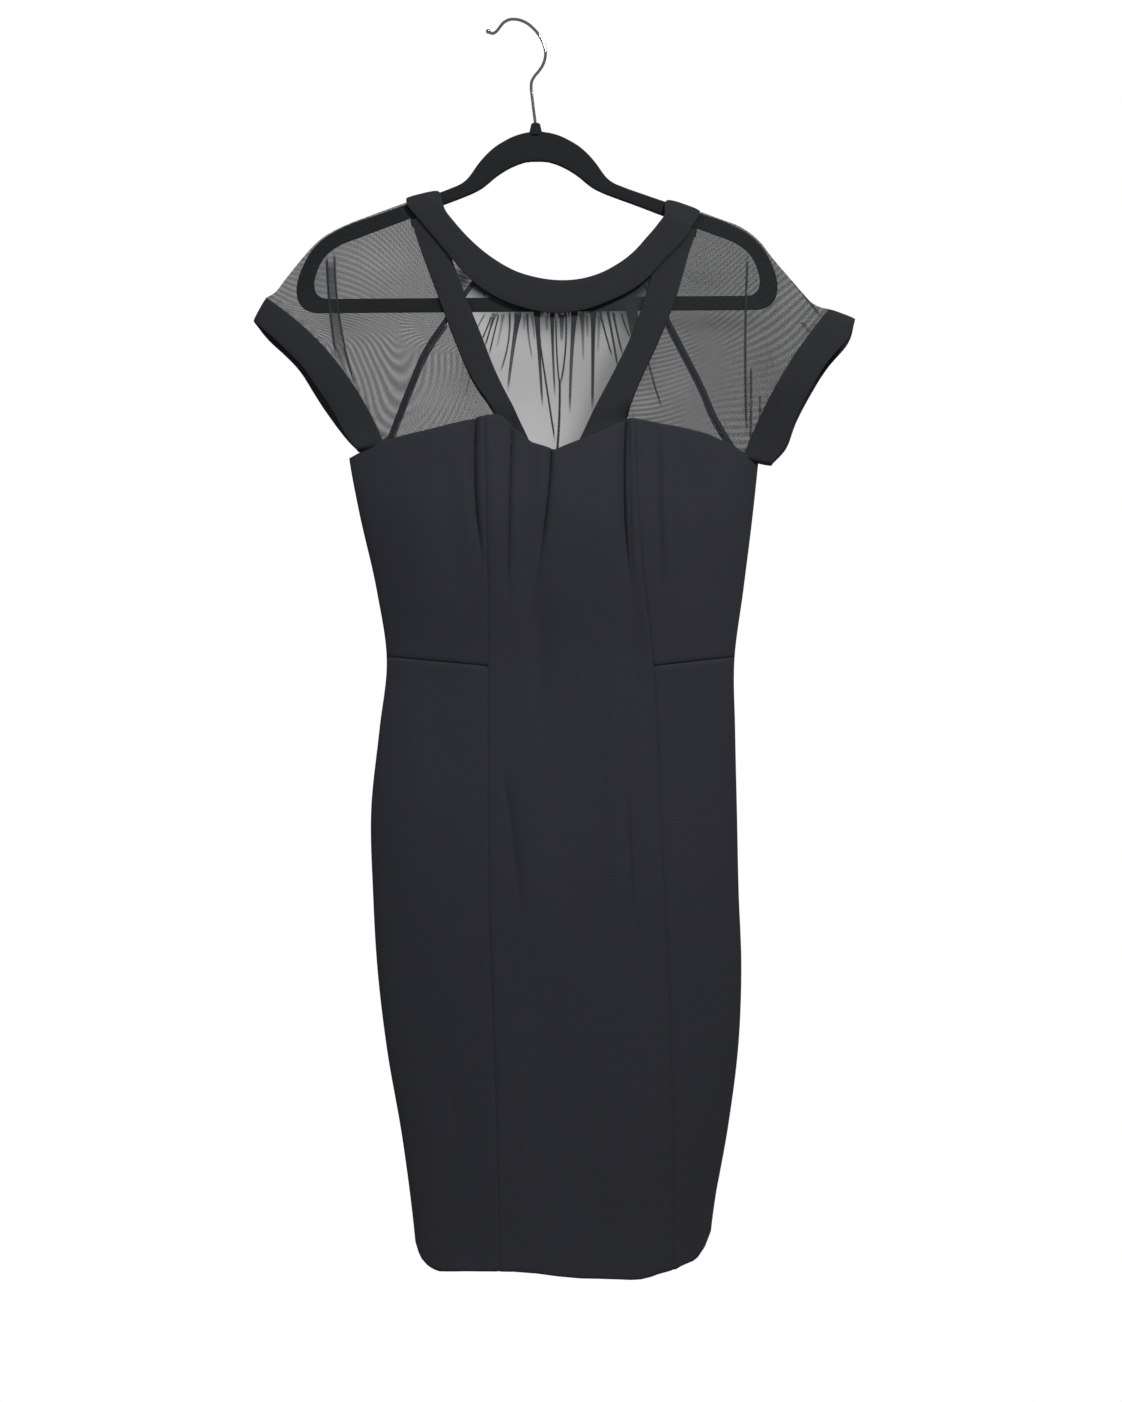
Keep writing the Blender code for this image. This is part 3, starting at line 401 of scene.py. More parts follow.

# %% [markdown]
# ### Polyester crepe
#
# Crepe is woven from tightly twisted yarn, which relaxes into a fine pebbled surface. It is matte and drinks light,
# with a faint bloom at grazing angles from its fibre ends. The pebble is about 1 mm across, and the weave's rows run up
# and down the panel. Both are a low relief with a slight unevenness of the dye. The bands, straps and cuffs get a copy
# of the crepe with darker colours, which is painted shade: it keeps their rounded folds from looking lighter.


# %% Crepe
def crepe_finish(name, dark, light):
    made, tree, shader = finish(name, Base_Color="#2c2d31", Roughness=0.88, Sheen_Weight=0.12, Sheen_Roughness=0.5)
    give(shader, "Sheen_Tint", "#8c8d98")
    give(shader, "Specular_IOR_Level", 0.16)
    where = add(tree, "TexCoord").outputs["UV"]
    flat_mm = add(tree, "Mapping", Vector=where, Scale=(1000.0, 1000.0, 1.0))
    pebble = add(tree, "TexNoise", Vector=flat_mm, Scale=0.8, Detail=3.0, Roughness=0.6)
    weft = add(tree, "Mapping", Vector=where, Scale=(90.0, 1400.0, 1.0))
    rows = add(tree, "TexNoise", Vector=weft, Scale=0.6, Detail=2.0, Roughness=0.5)
    both = maths(tree, "MULTIPLY_ADD", rows, 0.7, pebble)
    give(shader, "Normal", add(tree, "Bump", Strength=0.25, Distance=0.0004, Height=both))
    dye = add(tree, "ValToRGB", Fac=both)
    for stop, place, colour in zip(dye.color_ramp.elements, (0.55, 1.0), (dark, light)):
        stop.position, stop.color = place, srgb(colour)
    give(shader, "Base_Color", dye)
    return made


crepe = crepe_finish("polyester_crepe_black", "#28292e", "#2c2d33")
# Painted shade: the same crepe with darker colours, for the neckband, straps and cuffs.
crepe_painted_shade = crepe_finish("polyester_crepe_black_painted_shade", "#232426", "#27282b")
print("materials", crepe.name, crepe_painted_shade.name)

# %% [markdown]
# ### Black net
#
# The yoke and sleeves are a fine nylon net, two threads crossing at about 60 degrees with openings near a millimetre.
# Where two layers lie behind each other their threads beat and make the watery bands seen in any sheer sleeve. Each
# net carries the phase of that beat as a number on its mesh, and the material turns it into soft bands. The thread
# pitch is drawn at 1.7 mm, a little coarser than the real net, so that it shows. Where the cloth is gathered or seamed
# it lies double, and a second number on the mesh closes it there. The same number carries painted shade too: it closes
# the net further where shade falls behind it, and opens it in a few patches of painted light.

# %% Net
THREAD_PITCH, THREAD_WIDE = 1.7, 0.11
net, tree, shader = finish("nylon_net_black", Base_Color="#232627", Roughness=0.7, Sheen_Weight=0.1)
give(shader, "Specular_IOR_Level", 0.2)
where = add(tree, "TexCoord").outputs["UV"]
threads = []
for turn in (math.radians(30), math.radians(-30)):
    lines = add(tree, "Mapping", Vector=where, Rotation=(0.0, 0.0, turn), Scale=(1000 / THREAD_PITCH,) * 2 + (1.0,))
    saw = maths(tree, "PINGPONG", add(tree, "SeparateXYZ", Vector=lines), 0.5)
    threads.append(maths(tree, "LESS_THAN", saw, THREAD_WIDE))
haze = add(tree, "MapRange", Value=maths(tree, "MAXIMUM", *threads), To_Min=0.27, To_Max=0.37)
numbers = {}
for label in ("doubled", "beat"):
    number = add(tree, "Attribute")
    number.attribute_name = label
    numbers[label] = number.outputs["Fac"]
watered = maths(tree, "MULTIPLY_ADD", maths(tree, "SINE", numbers["beat"]), 0.055, haze)
# This number closes the net where it lies double, and also where painted shade darkens it.
cover = maths(tree, "ADD", watered, numbers["doubled"])
cover.use_clamp = True
give(shader, "Alpha", cover)

print("material", net.name)

# %% [markdown]
# ### Flock, chrome, enamel and tape
#
# Flock is short nylon fibre shot onto glued plastic: almost black, with a soft bright edge where the fibres are seen
# from the side. The hook is polished chrome on steel wire. The zip's slider and tab are black enamel over a die
# casting, and its tape is knitted polyester.

# %% Hard finishes
flock, tree, shader = finish("nylon_flock_black", Base_Color="#1d1e20", Roughness=0.95, Sheen_Weight=0.35)
for key, value in (("Sheen_Roughness", 0.6), ("Sheen_Tint", "#70747a"), ("Specular_IOR_Level", 0.1)):
    give(shader, key, value)
fibre = add(tree, "TexNoise", Vector=add(tree, "TexCoord").outputs["Object"], Scale=1400.0, Detail=2.0)
give(shader, "Normal", add(tree, "Bump", Strength=0.5, Distance=0.0004, Height=fibre))

chrome = finish("polished_chrome", Base_Color="#b4b5b8", Roughness=0.06, Metallic=1.0)[0]
enamel = finish("enamelled_zinc_black", Base_Color="#1b1b1d", Roughness=0.3, Coat_Weight=0.4, Coat_Roughness=0.15)[0]
tape = finish("knitted_tape_black", Base_Color="#1f2022", Roughness=0.9)[0]
print("materials", len(bpy.data.materials))

# %% [markdown]
# ## Body panels
#
# The front is one long centre panel from bust to hem between two princess seams, with a bodice and a skirt panel at
# each side joined at the waist. The back is two bodice and two skirt panels about the centre zip. Along a seam both
# edges roll inwards, because the allowance behind pulls the stitched line down. That narrow valley is what makes a
# black-on-black seam visible.

# %% Panel helper
SEAM_DIP, SEAM_ROLL = 1.3, 1.5


def panel(side, left_of, right_of, top_of, end_of, across, down, seams):
    """Points of a panel between two edges. seams names which of left, right, top and end roll in as seams."""
    u, v = np.meshgrid(across, down)
    x = np.full_like(u, BODY_MIDDLE)
    for _ in range(5):
        below = mix(top_of(x), end_of(x), v)
        centre, half = span_at(below)
        left, right = (np.arcsin(np.clip((edge(below) - centre) / half, -1, 1)) for edge in (left_of, right_of))
        x = centre + half * np.sin(mix(left, right, u))
    below = mix(top_of(x), end_of(x), v)
    gaps = {"left": x - left_of(below), "right": right_of(below) - x, "top": below - top_of(x)}
    gaps["end"] = end_of(x) - below
    lift = -SEAM_DIP * sum(np.exp(-((np.abs(gaps[seam]) / SEAM_ROLL) ** 1.5)) for seam in seams)
    return on_body(side, x, below, lift)


def waist(name, middle):
    """The waist seam, from its height at the side seam to its height at the panel's inner edge."""
    side = float(body[name](WAIST_AT_SIDE))
    inner = BACK_CENTRE if middle == WAIST_AT_BACK else float(princess[name](WAIST_AT_SIDE))
    return lambda x: mix(WAIST_AT_SIDE, middle, np.clip((x - side) / (inner - side), 0, 1))


def back_centre(z, sign):
    """The centre back edge of one side. It leaves the other below the top of the walking slit."""
    slit = SLIT_OPEN * np.maximum((z - SLIT_TOP) / (SLIT_FOOT - SLIT_TOP), 0.0) ** 1.5
    return BACK_CENTRE + BACK_LEAN * (z - BACK_V) + sign * slit


# %% Front and back panels
CREPE_THICK, BAND_THICK, CUFF_THICK = 1.3, 2.4, 2.2
BAND_CROWN, STRAP_CROWN, CUFF_CROWN = 0.8, 0.35, 0.7
OUTSIDE = 1.0
centre = panel(
    "front", princess["left"], princess["right"], front_top, hem, spread(160, 0.2), spread(240), ("left", "right")
)
cloth("front_centre_cloth", centre, CREPE_THICK, crepe, "centre_front_panel", OUTSIDE)
inner_back = {name: lambda z, sign=sign: back_centre(z, sign) for name, sign in SIGNS.items()}
for side, plain, inner, middle, top, bodice_grid, skirt_grid in (
    ("front", "side_front", princess, WAIST_AT_PRINCESS, front_top, (110, 0.3, 90), (40, 0.7, 170)),
    ("back", "back", inner_back, WAIST_AT_BACK, back_top, (60, 0.7, 84), (60, 0.7, 170)),
):
    for name, sign in SIGNS.items():
        edges, seam = (body[name], inner[name])[::-sign], waist(name, middle)
        for part, start, end, joined, (count, crowd, down) in (
            ("bodice", top, seam, "end", bodice_grid),
            ("skirt", seam, hem, "top", skirt_grid),
        ):
            points = panel(side, *edges, start, end, spread(count, crowd), spread(down), (OTHER[name], joined))
            node = f"{plain}_{part}_{name}"
            cloth(f"{side}_{part}_{name}_cloth", points, CREPE_THICK, crepe, node, OUTSIDE, flip=side == "back")

# %% [markdown]
# ## Neckband
#
# The neckband is a folded strip of crepe, 30 mm wide in front and 24 mm beside the shoulders, that loops over both
# arms of the hanger. It is the stiffest part of the dress, so its line stays one clean curve. It is made as one thick
# band, a little crowned between its two edges.

# %% Neckband tables and line
HANGER_CENTRE, HANGER_THICK = 20.5, 5.5
NECK_CENTRE, NECK_HALF, NECK_START = 36.3, 119.0, 169.4
NECK_TILT, NECK_DROP, NECK_ROUND = 5.1, 91.0, 1.34
SHOULDER_EDGES = {"left": (-69.0, -100.5), "right": (138.7, 171.3)}

HANGER_OUTER = (
    ("out", "below"),
    (3, 103), (13.6, 104.8), (21.8, 107.4), (30, 111.4), (38.2, 116.4), (45, 122), (51.2, 128.5),
    (56.6, 135.3), (61, 141.7), (65.5, 147.2), (71, 151.3), (80, 155.2), (100, 162.5), (143, 177.6),
    (184, 192.7), (198, 201), (206.6, 208.8), (212.2, 216), (216.2, 223.4), (219.7, 231), (222.8, 240.6),
    (223.8, 250), (222.3, 259), (217.2, 266), (208.6, 269.9), (197, 270.4),
)
HANGER_INNER = (
    ("out", "below"),
    (4, 130.9), (10.4, 131.5), (17, 133.5), (25.2, 137), (32.7, 141.3), (39.6, 146.2), (45.7, 151.4),
    (51.9, 156), (60, 160.2), (71.6, 164.9), (87, 170.6), (125, 185.3), (165, 200.2), (184.6, 208),
    (195.2, 215.6), (201.2, 223.4), (205, 232.2), (207.4, 243), (205.8, 251.6), (200, 256.4), (191, 257.4),
)
HANGER_TILT = 0.0075


def hanger_top(across):
    outs, belows = column(HANGER_OUTER, "out"), column(HANGER_OUTER, "below")
    widest = int(outs.argmax()) + 1
    out = across - HANGER_CENTRE
    return np.interp(np.abs(out), outs[:widest], belows[:widest]) - HANGER_TILT * out


def neck_middle(angle):
    across = NECK_CENTRE - NECK_HALF * np.cos(angle)
    tilt = NECK_TILT * (across - NECK_CENTRE) / NECK_HALF
    return across, NECK_START + tilt + NECK_DROP * np.maximum(np.sin(angle), 0.0) ** NECK_ROUND


def beside(line, at, out, step=0.01):
    """A point out mm to the side of a line, which is a function that gives across and below."""
    (x0, z0), (x1, z1), (x, z) = line(at - step), line(at + step), line(at)
    long = np.hypot(x1 - x0, z1 - z0)
    return x - (z1 - z0) / long * out, z + (x1 - x0) / long * out


def neck_width(angle):
    return 27.0 - 3.5 * np.sin(2 * angle) ** 2 + 2.0 * np.maximum(np.cos(angle) ** 2 - 0.9, 0) / 0.1


NECK_EDGES = (
    ("turn", "inner", "outer"),
    (14, 0, 0), (20, -0.5, -2), (26, -2.2, -3.8), (32, -3.5, -4.8), (38, -4.3, -4.6), (44, -4.8, -3.3),
    (50, -4.9, -1.8), (56, -4.7, -0.5), (62, -4.2, 0.2), (68, -3.5, 0.4), (80, -3, 0.7), (92, -2.3, 1),
    (98, -2.1, 0.4), (104, -2.1, 0), (110, -2.4, -0.8), (116, -2.8, -1), (122, -3.5, -0.6), (128, -3.9, -0.7),
    (134, -4.3, -1.7), (140, -4.8, -3), (146, -5, -2.9), (152, -4, -1.5), (158, -2.8, 0), (166, 0, 0),
)
neck_inner, neck_outer = curve(NECK_EDGES, "inner"), curve(NECK_EDGES, "outer")

STRAP = ("along", "outer_across", "outer_below", "inner_across", "inner_below")
STRAPS = {
    "left": (
        STRAP,
        (0, -96, 187, -71.5, 180), (0.2, -87, 214.5, -62.9, 210),
        (0.4, -70.2, 259.2, -46, 257.4), (0.6, -58, 292, -32.1, 292),
        (0.8, -38.4, 336.3, -14.4, 336.3), (1, -13.2, 369.6, 15.6, 393.6),
    ),
    "right": (
        STRAP,
        (0, 168.5, 196.5, 141, 189), (0.2, 162.4, 213.3, 134.6, 211.5),
        (0.4, 150.2, 255.6, 122.4, 253.8), (0.6, 134.4, 295.8, 108.4, 294),
        (0.8, 115.7, 336.2, 88, 336.2), (1, 101.2, 374.2, 57.8, 392.6),
    ),
}
print("neckband drop, mm:", NECK_DROP)


# %% Neckband
def over_arm(across, radius, angle):
    """Points of a bend over the hanger's arm: angle is -90 degrees behind it and 90 in front."""
    centre = hanger_top(across) + HANGER_THICK / 2
    out = np.full_like(across, -radius * np.sin(angle))
    return np.stack([across, out, -centre + radius * np.cos(angle)], -1)


BAND_WRAP, BAND_LIFT, TAIL_LIFT = 4.9, 2.9, 2.2
NECK_LEAN = {"left": -6.5, "right": 6.5}
BAND_RISE = {"left": 2.8, "right": 0.0}


def neckband_spine(v):
    """Rows of points round the neckband, from behind one shoulder over it, round the front, to behind the other."""
    ends = []
    for name, sign in SIGNS.items():
        inner, outer = SHOULDER_EDGES[name]
        wraps = []
        for turn in np.radians(range(-90, 91, 15)):
            edge = inner + NECK_LEAN[name] * math.cos(turn) ** 2
            wraps.append(over_arm(mix(edge, outer, v), BAND_WRAP + BAND_RISE[name] * v, turn))
        strap = STRAPS[name][1]
        tail = on_body("back", mix(strap[3], strap[1], v), mix(strap[4], strap[2], v) + 3, TAIL_LIFT)
        ends.append([tail, mix(tail, wraps[0], 0.5), *wraps][::-sign])
    front = []
    for degrees in np.linspace(14, 166, 120):
        turn = math.radians(degrees)
        out = (v - 0.5) * neck_width(turn) + mix(neck_inner(degrees), neck_outer(degrees), v)
        front.append(on_body("front", *beside(neck_middle, turn, out), BAND_LIFT))
    quarters = (0.25, 0.5, 0.75)
    down = [mix(ends[0][-1], front[0], f) for f in quarters]
    up = [mix(front[-1], ends[1][0], f) for f in quarters]
    return np.array(ends[0] + down + front + up + ends[1])


def crown(v, power=4):
    """How a folded strip swells between its two edges, from 0 to 1."""
    return 1 - np.abs(2 * v - 1) ** power


v = spread(16, 0.7)
band = neckband_spine(v)
for _ in range(3):
    band[1:-1] = (band[:-2] + band[2:] + 2 * band[1:-1]) / 4
swell = BAND_CROWN * crown(v) + 0.25 * np.sin(np.linspace(0, 46, len(band)))[:, None] * (v - 0.3)
band = np.transpose(band, (1, 0, 2))
band = band + normals_of(band) * swell.T[..., None]
cloth("neckband_cloth", band, BAND_THICK, crepe_painted_shade, "neckband")

# %% [markdown]
# ## Straps
#
# Two straps run from under the neckband to the bust in front and behind, over the net. They are folded crepe, a little
# slack, so each has a faint twist and one or two drag lines near its top, where the neckband pulls on it.


# %% Straps
STRAP_LIFT, STRAP_TUCK, STRAP_DRAG = 0.2, 2.4, 0.5
STRAP_TWIST = {"left": 2.0, "right": 0.4}
u, v = np.meshgrid(spread(20, 0.7), spread(96))
for side in ("front", "back"):
    for name in SIGNS:
        outer_x, outer_z, inner_x, inner_z = (curve(STRAPS[name], key)(v) for key in STRAP[1:])
        x, z = mix(outer_x, inner_x, u), mix(outer_z, inner_z, u) + 50 * np.maximum(v - 0.9, 0)
        drag = STRAP_DRAG * bell(u - 0.35 - 0.4 * v, 0.12) * ease(1 - v / 0.4)
        twist = 0.35 * np.sin(9 * v + STRAP_TWIST[name]) * (u - 0.5)
        tuck = STRAP_TUCK * ease((v - 0.90) / 0.07)
        points = on_body(side, x, z, STRAP_CROWN * crown(u, 6) + drag + twist - tuck + STRAP_LIFT)
        flip = (side == "back") == (name == "left")
        cloth(f"{side}_strap_{name}_cloth", points, CREPE_THICK, crepe_painted_shade, f"{side}_strap_{name}", OUTSIDE, flip)

# %% [markdown]
# ## Net yoke
#
# The yoke fills the front between the neckband, the raglan seams and the bust. It is gathered onto the neckband: some
# thirty small pleats and creases fan down from it, wide and dark at the top, closing to a fine line. Each is a row with
# its top, its middle and its foot, its width, and how dark its inside and its edge are.

# %% Raglan seams and gathers
RAGLAN = {
    "left": (
        (0, -33.6, 238.6), (0.2, -57, 271.2), (0.43, -81.4, 306.5), (0.66, -97.8, 343.6),
        (0.85, -109.4, 373.2), (0.94, -116.2, 389.8), (1, -122, 394),
    ),
    "right": (
        (0, 116.4, 239), (0.17, 136.2, 271.3), (0.38, 155, 306.4), (0.6, 174, 343.6),
        (0.78, 186.7, 373.3), (0.87, 195.5, 388), (0.94, 203.4, 399.4), (1, 213, 405),
    ),
}

GATHERS = (
    ("x1", "z1", "x2", "z2", "x3", "z3", "wide", "fine", "fill", "edge"),
    (2.9, 278, -1.4, 306, -6.5, 349, 3.6, 0.35, 0.42, 0.5),
    (20.7, 277, 22.6, 310, 26, 365, 3.5, 0.3, 0.5, 0.5),
    (23.6, 304, 29.5, 343, 37.7, 397, 0.3, 0.3, 0.6, 0.75),
    (34.6, 278, 35.3, 309, 37.5, 355, 2.3, 0.25, 0.48, 0.35),
    (38.1, 283, 39.2, 316, 41.5, 344, 0.25, 0.25, 0.3, 0.5),
    (47.4, 278, 46.2, 316, 41.6, 345, 0.3, 0.3, 0.3, 0.55),
    (41.6, 341, 41.2, 373, 38, 416, 0.45, 0.4, 0.9, 0.9),
    (43.5, 277, 43.5, 287, 43.4, 302, 3.4, 1, 0.28, 0.05),
    (55.1, 277, 52.9, 309, 50.9, 371, 3.1, 0.35, 0.4, 0.5),
    (62.3, 277, 63, 296, 63.2, 321, 3.2, 0.4, 0.25, 0.12),
    (72.7, 277, 72.3, 314, 71.7, 368, 2.8, 0.55, 0.55, 0.45),
    (78.2, 278, 77.6, 294, 76.6, 312, 2.2, 0.8, 0.18, 0.05),
    (79.6, 276, 86.1, 301, 90.5, 316, 0.5, 0.3, 0.4, 0.5),
    (86.3, 274, 90.8, 298, 95.6, 327, 1, 0.35, 0.42, 0.5),
    (91.5, 276, 95, 293, 100, 314, 0.8, 0.3, 0.32, 0.5),
    (99.2, 276, 102.3, 286, 107.3, 298, 0.35, 0.3, 0.3, 0.4),
    (107.3, 266, 110.3, 284, 114.2, 306, 6.5, 5, 0.4, 0),
    (-22.3, 279, -26.2, 289, -30.7, 300, 0.35, 0.3, 0.3, 0.45),
    (-19.6, 279, -23.3, 291, -27.7, 306, 0.5, 0.3, 0.4, 0.5),
    (-15.4, 278, -19.3, 294, -23.9, 314, 0.4, 0.3, 0.3, 0.42),
    (-28.2, 276, -32.2, 283, -36.1, 291, 0.3, 0.25, 0.2, 0.3),
    (-18.3, 275, -20.3, 280, -22.3, 288, 3.6, 1.4, 0.24, 0),
    (-10.9, 277, -13.4, 291, -16.8, 308, 1.8, 0.5, 0.2, 0.1),
    (-4.7, 277, -7.6, 310, -14, 331, 0.55, 0.3, 0.25, 0.4),
    (11.6, 277, 12.9, 296, 16.9, 319, 1.4, 0.45, 0.34, 0.12),
    (15.8, 277, 17.3, 286, 18.3, 300, 1, 0.4, 0.25, 0.1),
    (29.6, 277, 29.7, 283, 29.9, 292, 2.4, 1.2, 0.16, 0),
    (66.7, 277, 67.1, 286, 67.3, 298, 1.3, 0.5, 0.22, 0.08),
    (9, 277, 8.8, 282, 8.6, 290, 1.6, 0.8, 0.16, 0),
    (122.7, 316, 128.1, 337, 136, 363, 0.4, 0.35, 0.3, 0.45),
    (-41.1, 331, -43, 341, -45, 353, 0.8, 0.4, 0.12, 0.1),
)


def crease_marks(table, across, below, rim_half=0.5, closing=0.55):
    """How much the net lies double along pleats, as a mark from 0 to 1. Each closes from its top to its foot."""
    marks = np.zeros_like(across)
    for x1, z1, x2, z2, x3, z3, wide, fine, fill, edge in table[1:]:
        run = (below - z1) / (z3 - z1)
        gap = np.abs(across - through_three(x1, z1, x2, z2, x3, z3)(np.clip(below, z1, z3)))
        width = mix(0.8 * wide, fine, np.clip(run, 0, 1) ** closing)
        fade = ease((run + 0.10) / 0.10) * ease((1 - run) / 0.22)
        inside = mix(1.15, 0.75, np.clip(run, 0, 1)) * fill * ease((width - gap) / (1.8 * rim_half) + 0.5)
        marks = np.maximum(marks, fade * np.maximum(inside, 1.45 * edge * bell(gap - width, rim_half)))
    return np.minimum(marks, 0.95)


def coons(top, foot, left, right, u, v):
    """A grid inside four edges, each a function giving across and below."""
    grid = []
    for k in (0, 1):
        sides = mix(left(v)[k], right(v)[k], u)
        ends = mix(top(u)[k], foot(u)[k], v)
        zero, one = np.zeros(1), np.ones(1)
        corners = mix(mix(top(zero)[k], foot(zero)[k], v), mix(top(one)[k], foot(one)[k], v), u)
        grid.append(sides + ends - corners)
    return grid


def line_of(rows):
    """A function that gives across and below from rows of a place along, its across and its below."""
    table = (("along", "across", "below"), *rows)
    across, below = curve(table, "across"), curve(table, "below")
    return lambda at: (across(at), below(at))


def reader(points, count=80):
    """A function from 0 to 1 along a smooth curve through points of across and below."""
    points = np.array(points, float)
    gone = lengths_along(points, 0)
    x, z = line_of(np.column_stack([gone, points]))(np.linspace(0, gone[-1], count))
    spots = np.linspace(0, 1, count)
    return lambda f: (np.interp(f, spots, x), np.interp(f, spots, z))


NET_THICK, NET_LIFT, NET_SINK = 0.3, -0.9, 0.7
TUCK, SEAM_LAP = 5.0, 2.2
SEAM_HALF = {"left": 1.7, "right": 2.5}
raglan = {name: line_of(table) for name, table in RAGLAN.items()}


def raglan_line(name, along, out):
    """A point beside a raglan seam, moved out mm towards the cuff."""
    return beside(raglan[name], along, -SIGNS[name] * out)


def beat_of(name, across, below):
    """The phase of the watery bands of two nets, in radians."""
    if name == "left":
        high = below - 0.45 * across + 13 * np.sin((across + 178) / 29) + 7 * np.sin(below / 36 + across / 47)
        low = 350 + 0.95 * np.hypot(across + 108, 0.45 * (below - 285)) + 3 * np.sin(below / 17 + across / 25)
        return mix(high, low, ease((below - 262) / 50)) / 4.6 * 2 * np.pi
    level = below + 0.72 * across - 0.0043 * (below - 240) * (across - 180)
    level = level + 2.5 * np.sin(across / 16 + below / 40) + 2 * np.sin(below / 19 - across / 45)
    return level / 5.2 * 2 * np.pi


# Soft patches of painted shade (more above 0) and painted light (more below 0) on the front net; the last two are the
# dark corners between the neckband and the straps.
NET_PAINTED_SHADES = (
    ("across", "below", "wide", "tall", "more"),
    (-125, 224, 28, 16, -0.045),
    (-181, 238, 14, 24, 0.07),
    (-160, 281, 20, 13, 0.06),
    (-99, 299, 22, 16, -0.03),
    (-42, 326, 12, 26, 0.07),
    (-80, 352, 20, 13, -0.03),
    (176, 243, 24, 10, 0.05),
    (184, 283, 46, 8, 0.08),
    (149, 337, 16, 18, -0.045),
    (118, 357, 16, 10, -0.06),
    (258, 254, 12, 17, -0.05),
    (118, 318, 9, 16, 0.06),
    (232, 322, 14, 22, 0.04),
    (-49, 242, 11, 14, 0.5),
    (124, 243, 8, 10, 0.7),
)


def painted_net_shade(across, below):
    """Painted shade and painted light on the net: soft patches that close it further or open it, added to its marks."""
    return sum(more * bell(across - x, wide) * bell(below - z, tall) for x, z, wide, tall, more in NET_PAINTED_SHADES[1:])


print("gathers:", len(GATHERS) - 1)

# %% Front yoke
V_TALL, V_LEFT, V_RIGHT, V_STRAP = (270, 400), (-50, 12), (125, 68), (116, 60)
GATHER_RIM, GATHER_CLOSING = 0.36, 0.42
# Painted shade: outside the open V the front net is closed at least this much, more on the right, for the shadow behind
# it.
YOKE_LEAST_PAINTED_SHADE = {"left": 0.04, "right": 0.085}
SLEEVES_MEET = 40


def near_seam(distance, width):
    """The dark band of a raglan seam, where the net's allowances lie in four layers."""
    gap = np.abs(distance)
    return np.maximum(0.50 * ease((width - gap) / 0.8 + 0.5), 0.72 * bell(gap - width + 0.4, 0.6))


under_band = [beside(neck_middle, a, neck_width(a) / 2 - TUCK) for a in np.radians([68, 90, 112])]
foot_left, foot_right = (raglan_line(name, 1.0, SEAM_LAP) for name in SIGNS)
yoke_top = reader([raglan_line("left", 0.0, SEAM_LAP), *under_band, raglan_line("right", 0.0, SEAM_LAP)])


def yoke_foot(u):
    x = mix(foot_left[0], foot_right[0], u)
    start, end = foot_left[1] - front_top(foot_left[0]), foot_right[1] - front_top(foot_right[0])
    return x, front_top(x) + start * (1 - u) ** 40 + end * u**40


u, v = np.meshgrid(spread(500), spread(74))
sides = [lambda s, name=name: raglan_line(name, s, SEAM_LAP) for name in SIGNS]
x, z = coons(yoke_top, yoke_foot, *sides, u, v)
z = z + TUCK * ease((v - 0.93) / 0.07) * crown(u, 12)
edge_turns = np.radians(np.linspace(38, 142, 80))
below_band = np.maximum(z - np.interp(x, *beside(neck_middle, edge_turns, neck_width(edge_turns) / 2)), 0)
in_the_v = ease((x - np.interp(z, V_TALL, V_LEFT)) / 3) * ease((np.interp(z, V_TALL, V_RIGHT) - x) / 3)
marks = crease_marks(GATHERS, x, z, GATHER_RIM, GATHER_CLOSING)
marks = np.minimum(marks * (1 + 0.3 * bell(below_band, 20)), 0.95)
pucker = 0.5 + 0.5 * np.sin(x * 1.55 + 1.6 * np.sin(x * 0.37))
beside_v = ease((np.abs(x - BODY_MIDDLE) - 24) / 20) * (0.5 + 0.35 * pucker) * bell(below_band, 4.5)
marks = np.maximum.reduce([marks, 0.35 * pucker * bell(below_band, 4.0), beside_v])
# Painted shade in the open V: the net is closed further towards its right, beside the right strap, under the neckband
# and at its upper right.
from_strap = np.maximum(np.interp(z, V_TALL, V_STRAP) - x, 0)
rise = mix(0.03, 0.09, ease((x - 15) / 60)) + 0.13 * bell(from_strap, 14) + 0.05 * bell(z - 330, 40)
rise = rise + 0.33 * bell(below_band, 18) + 0.16 * bell(x - 106, 14) * bell(z - 276, 18)
# The V takes the painted shade above, and the net outside it takes the painted base shade of its side.
yoke_painted_shade = mix(np.where(x < SLEEVES_MEET, YOKE_LEAST_PAINTED_SHADE["left"], YOKE_LEAST_PAINTED_SHADE["right"]), rise, in_the_v)
marks = marks + yoke_painted_shade * (1 - marks) + painted_net_shade(x, z) * (1 - in_the_v)
for name in SIGNS:
    marks = np.maximum(marks, near_seam(0.86 * (x - raglan[name](v)[0]), SEAM_HALF[name]))
phase = np.where(x < SLEEVES_MEET, beat_of("left", x, z), beat_of("right", x, z))
beat = np.where(in_the_v > 0, 0.0, phase)
points = on_body("front", x, z, NET_LIFT - NET_SINK + 0.8 * np.minimum(marks, 0.5))
cloth("front_yoke_net", points, NET_THICK, net, "yoke_front", doubled=marks, beat=beat)

# %% [markdown]
# ## Cap sleeves and back yokes
#
# Each sleeve is one piece of net. It starts at the raglan seam in front, rises over the hanger's arm, and comes down to
# the raglan seam behind, and its far edge is gathered into the cuff. Past the hanger's end nothing holds it, so the net
# falls straight from there to the top of the cuff.

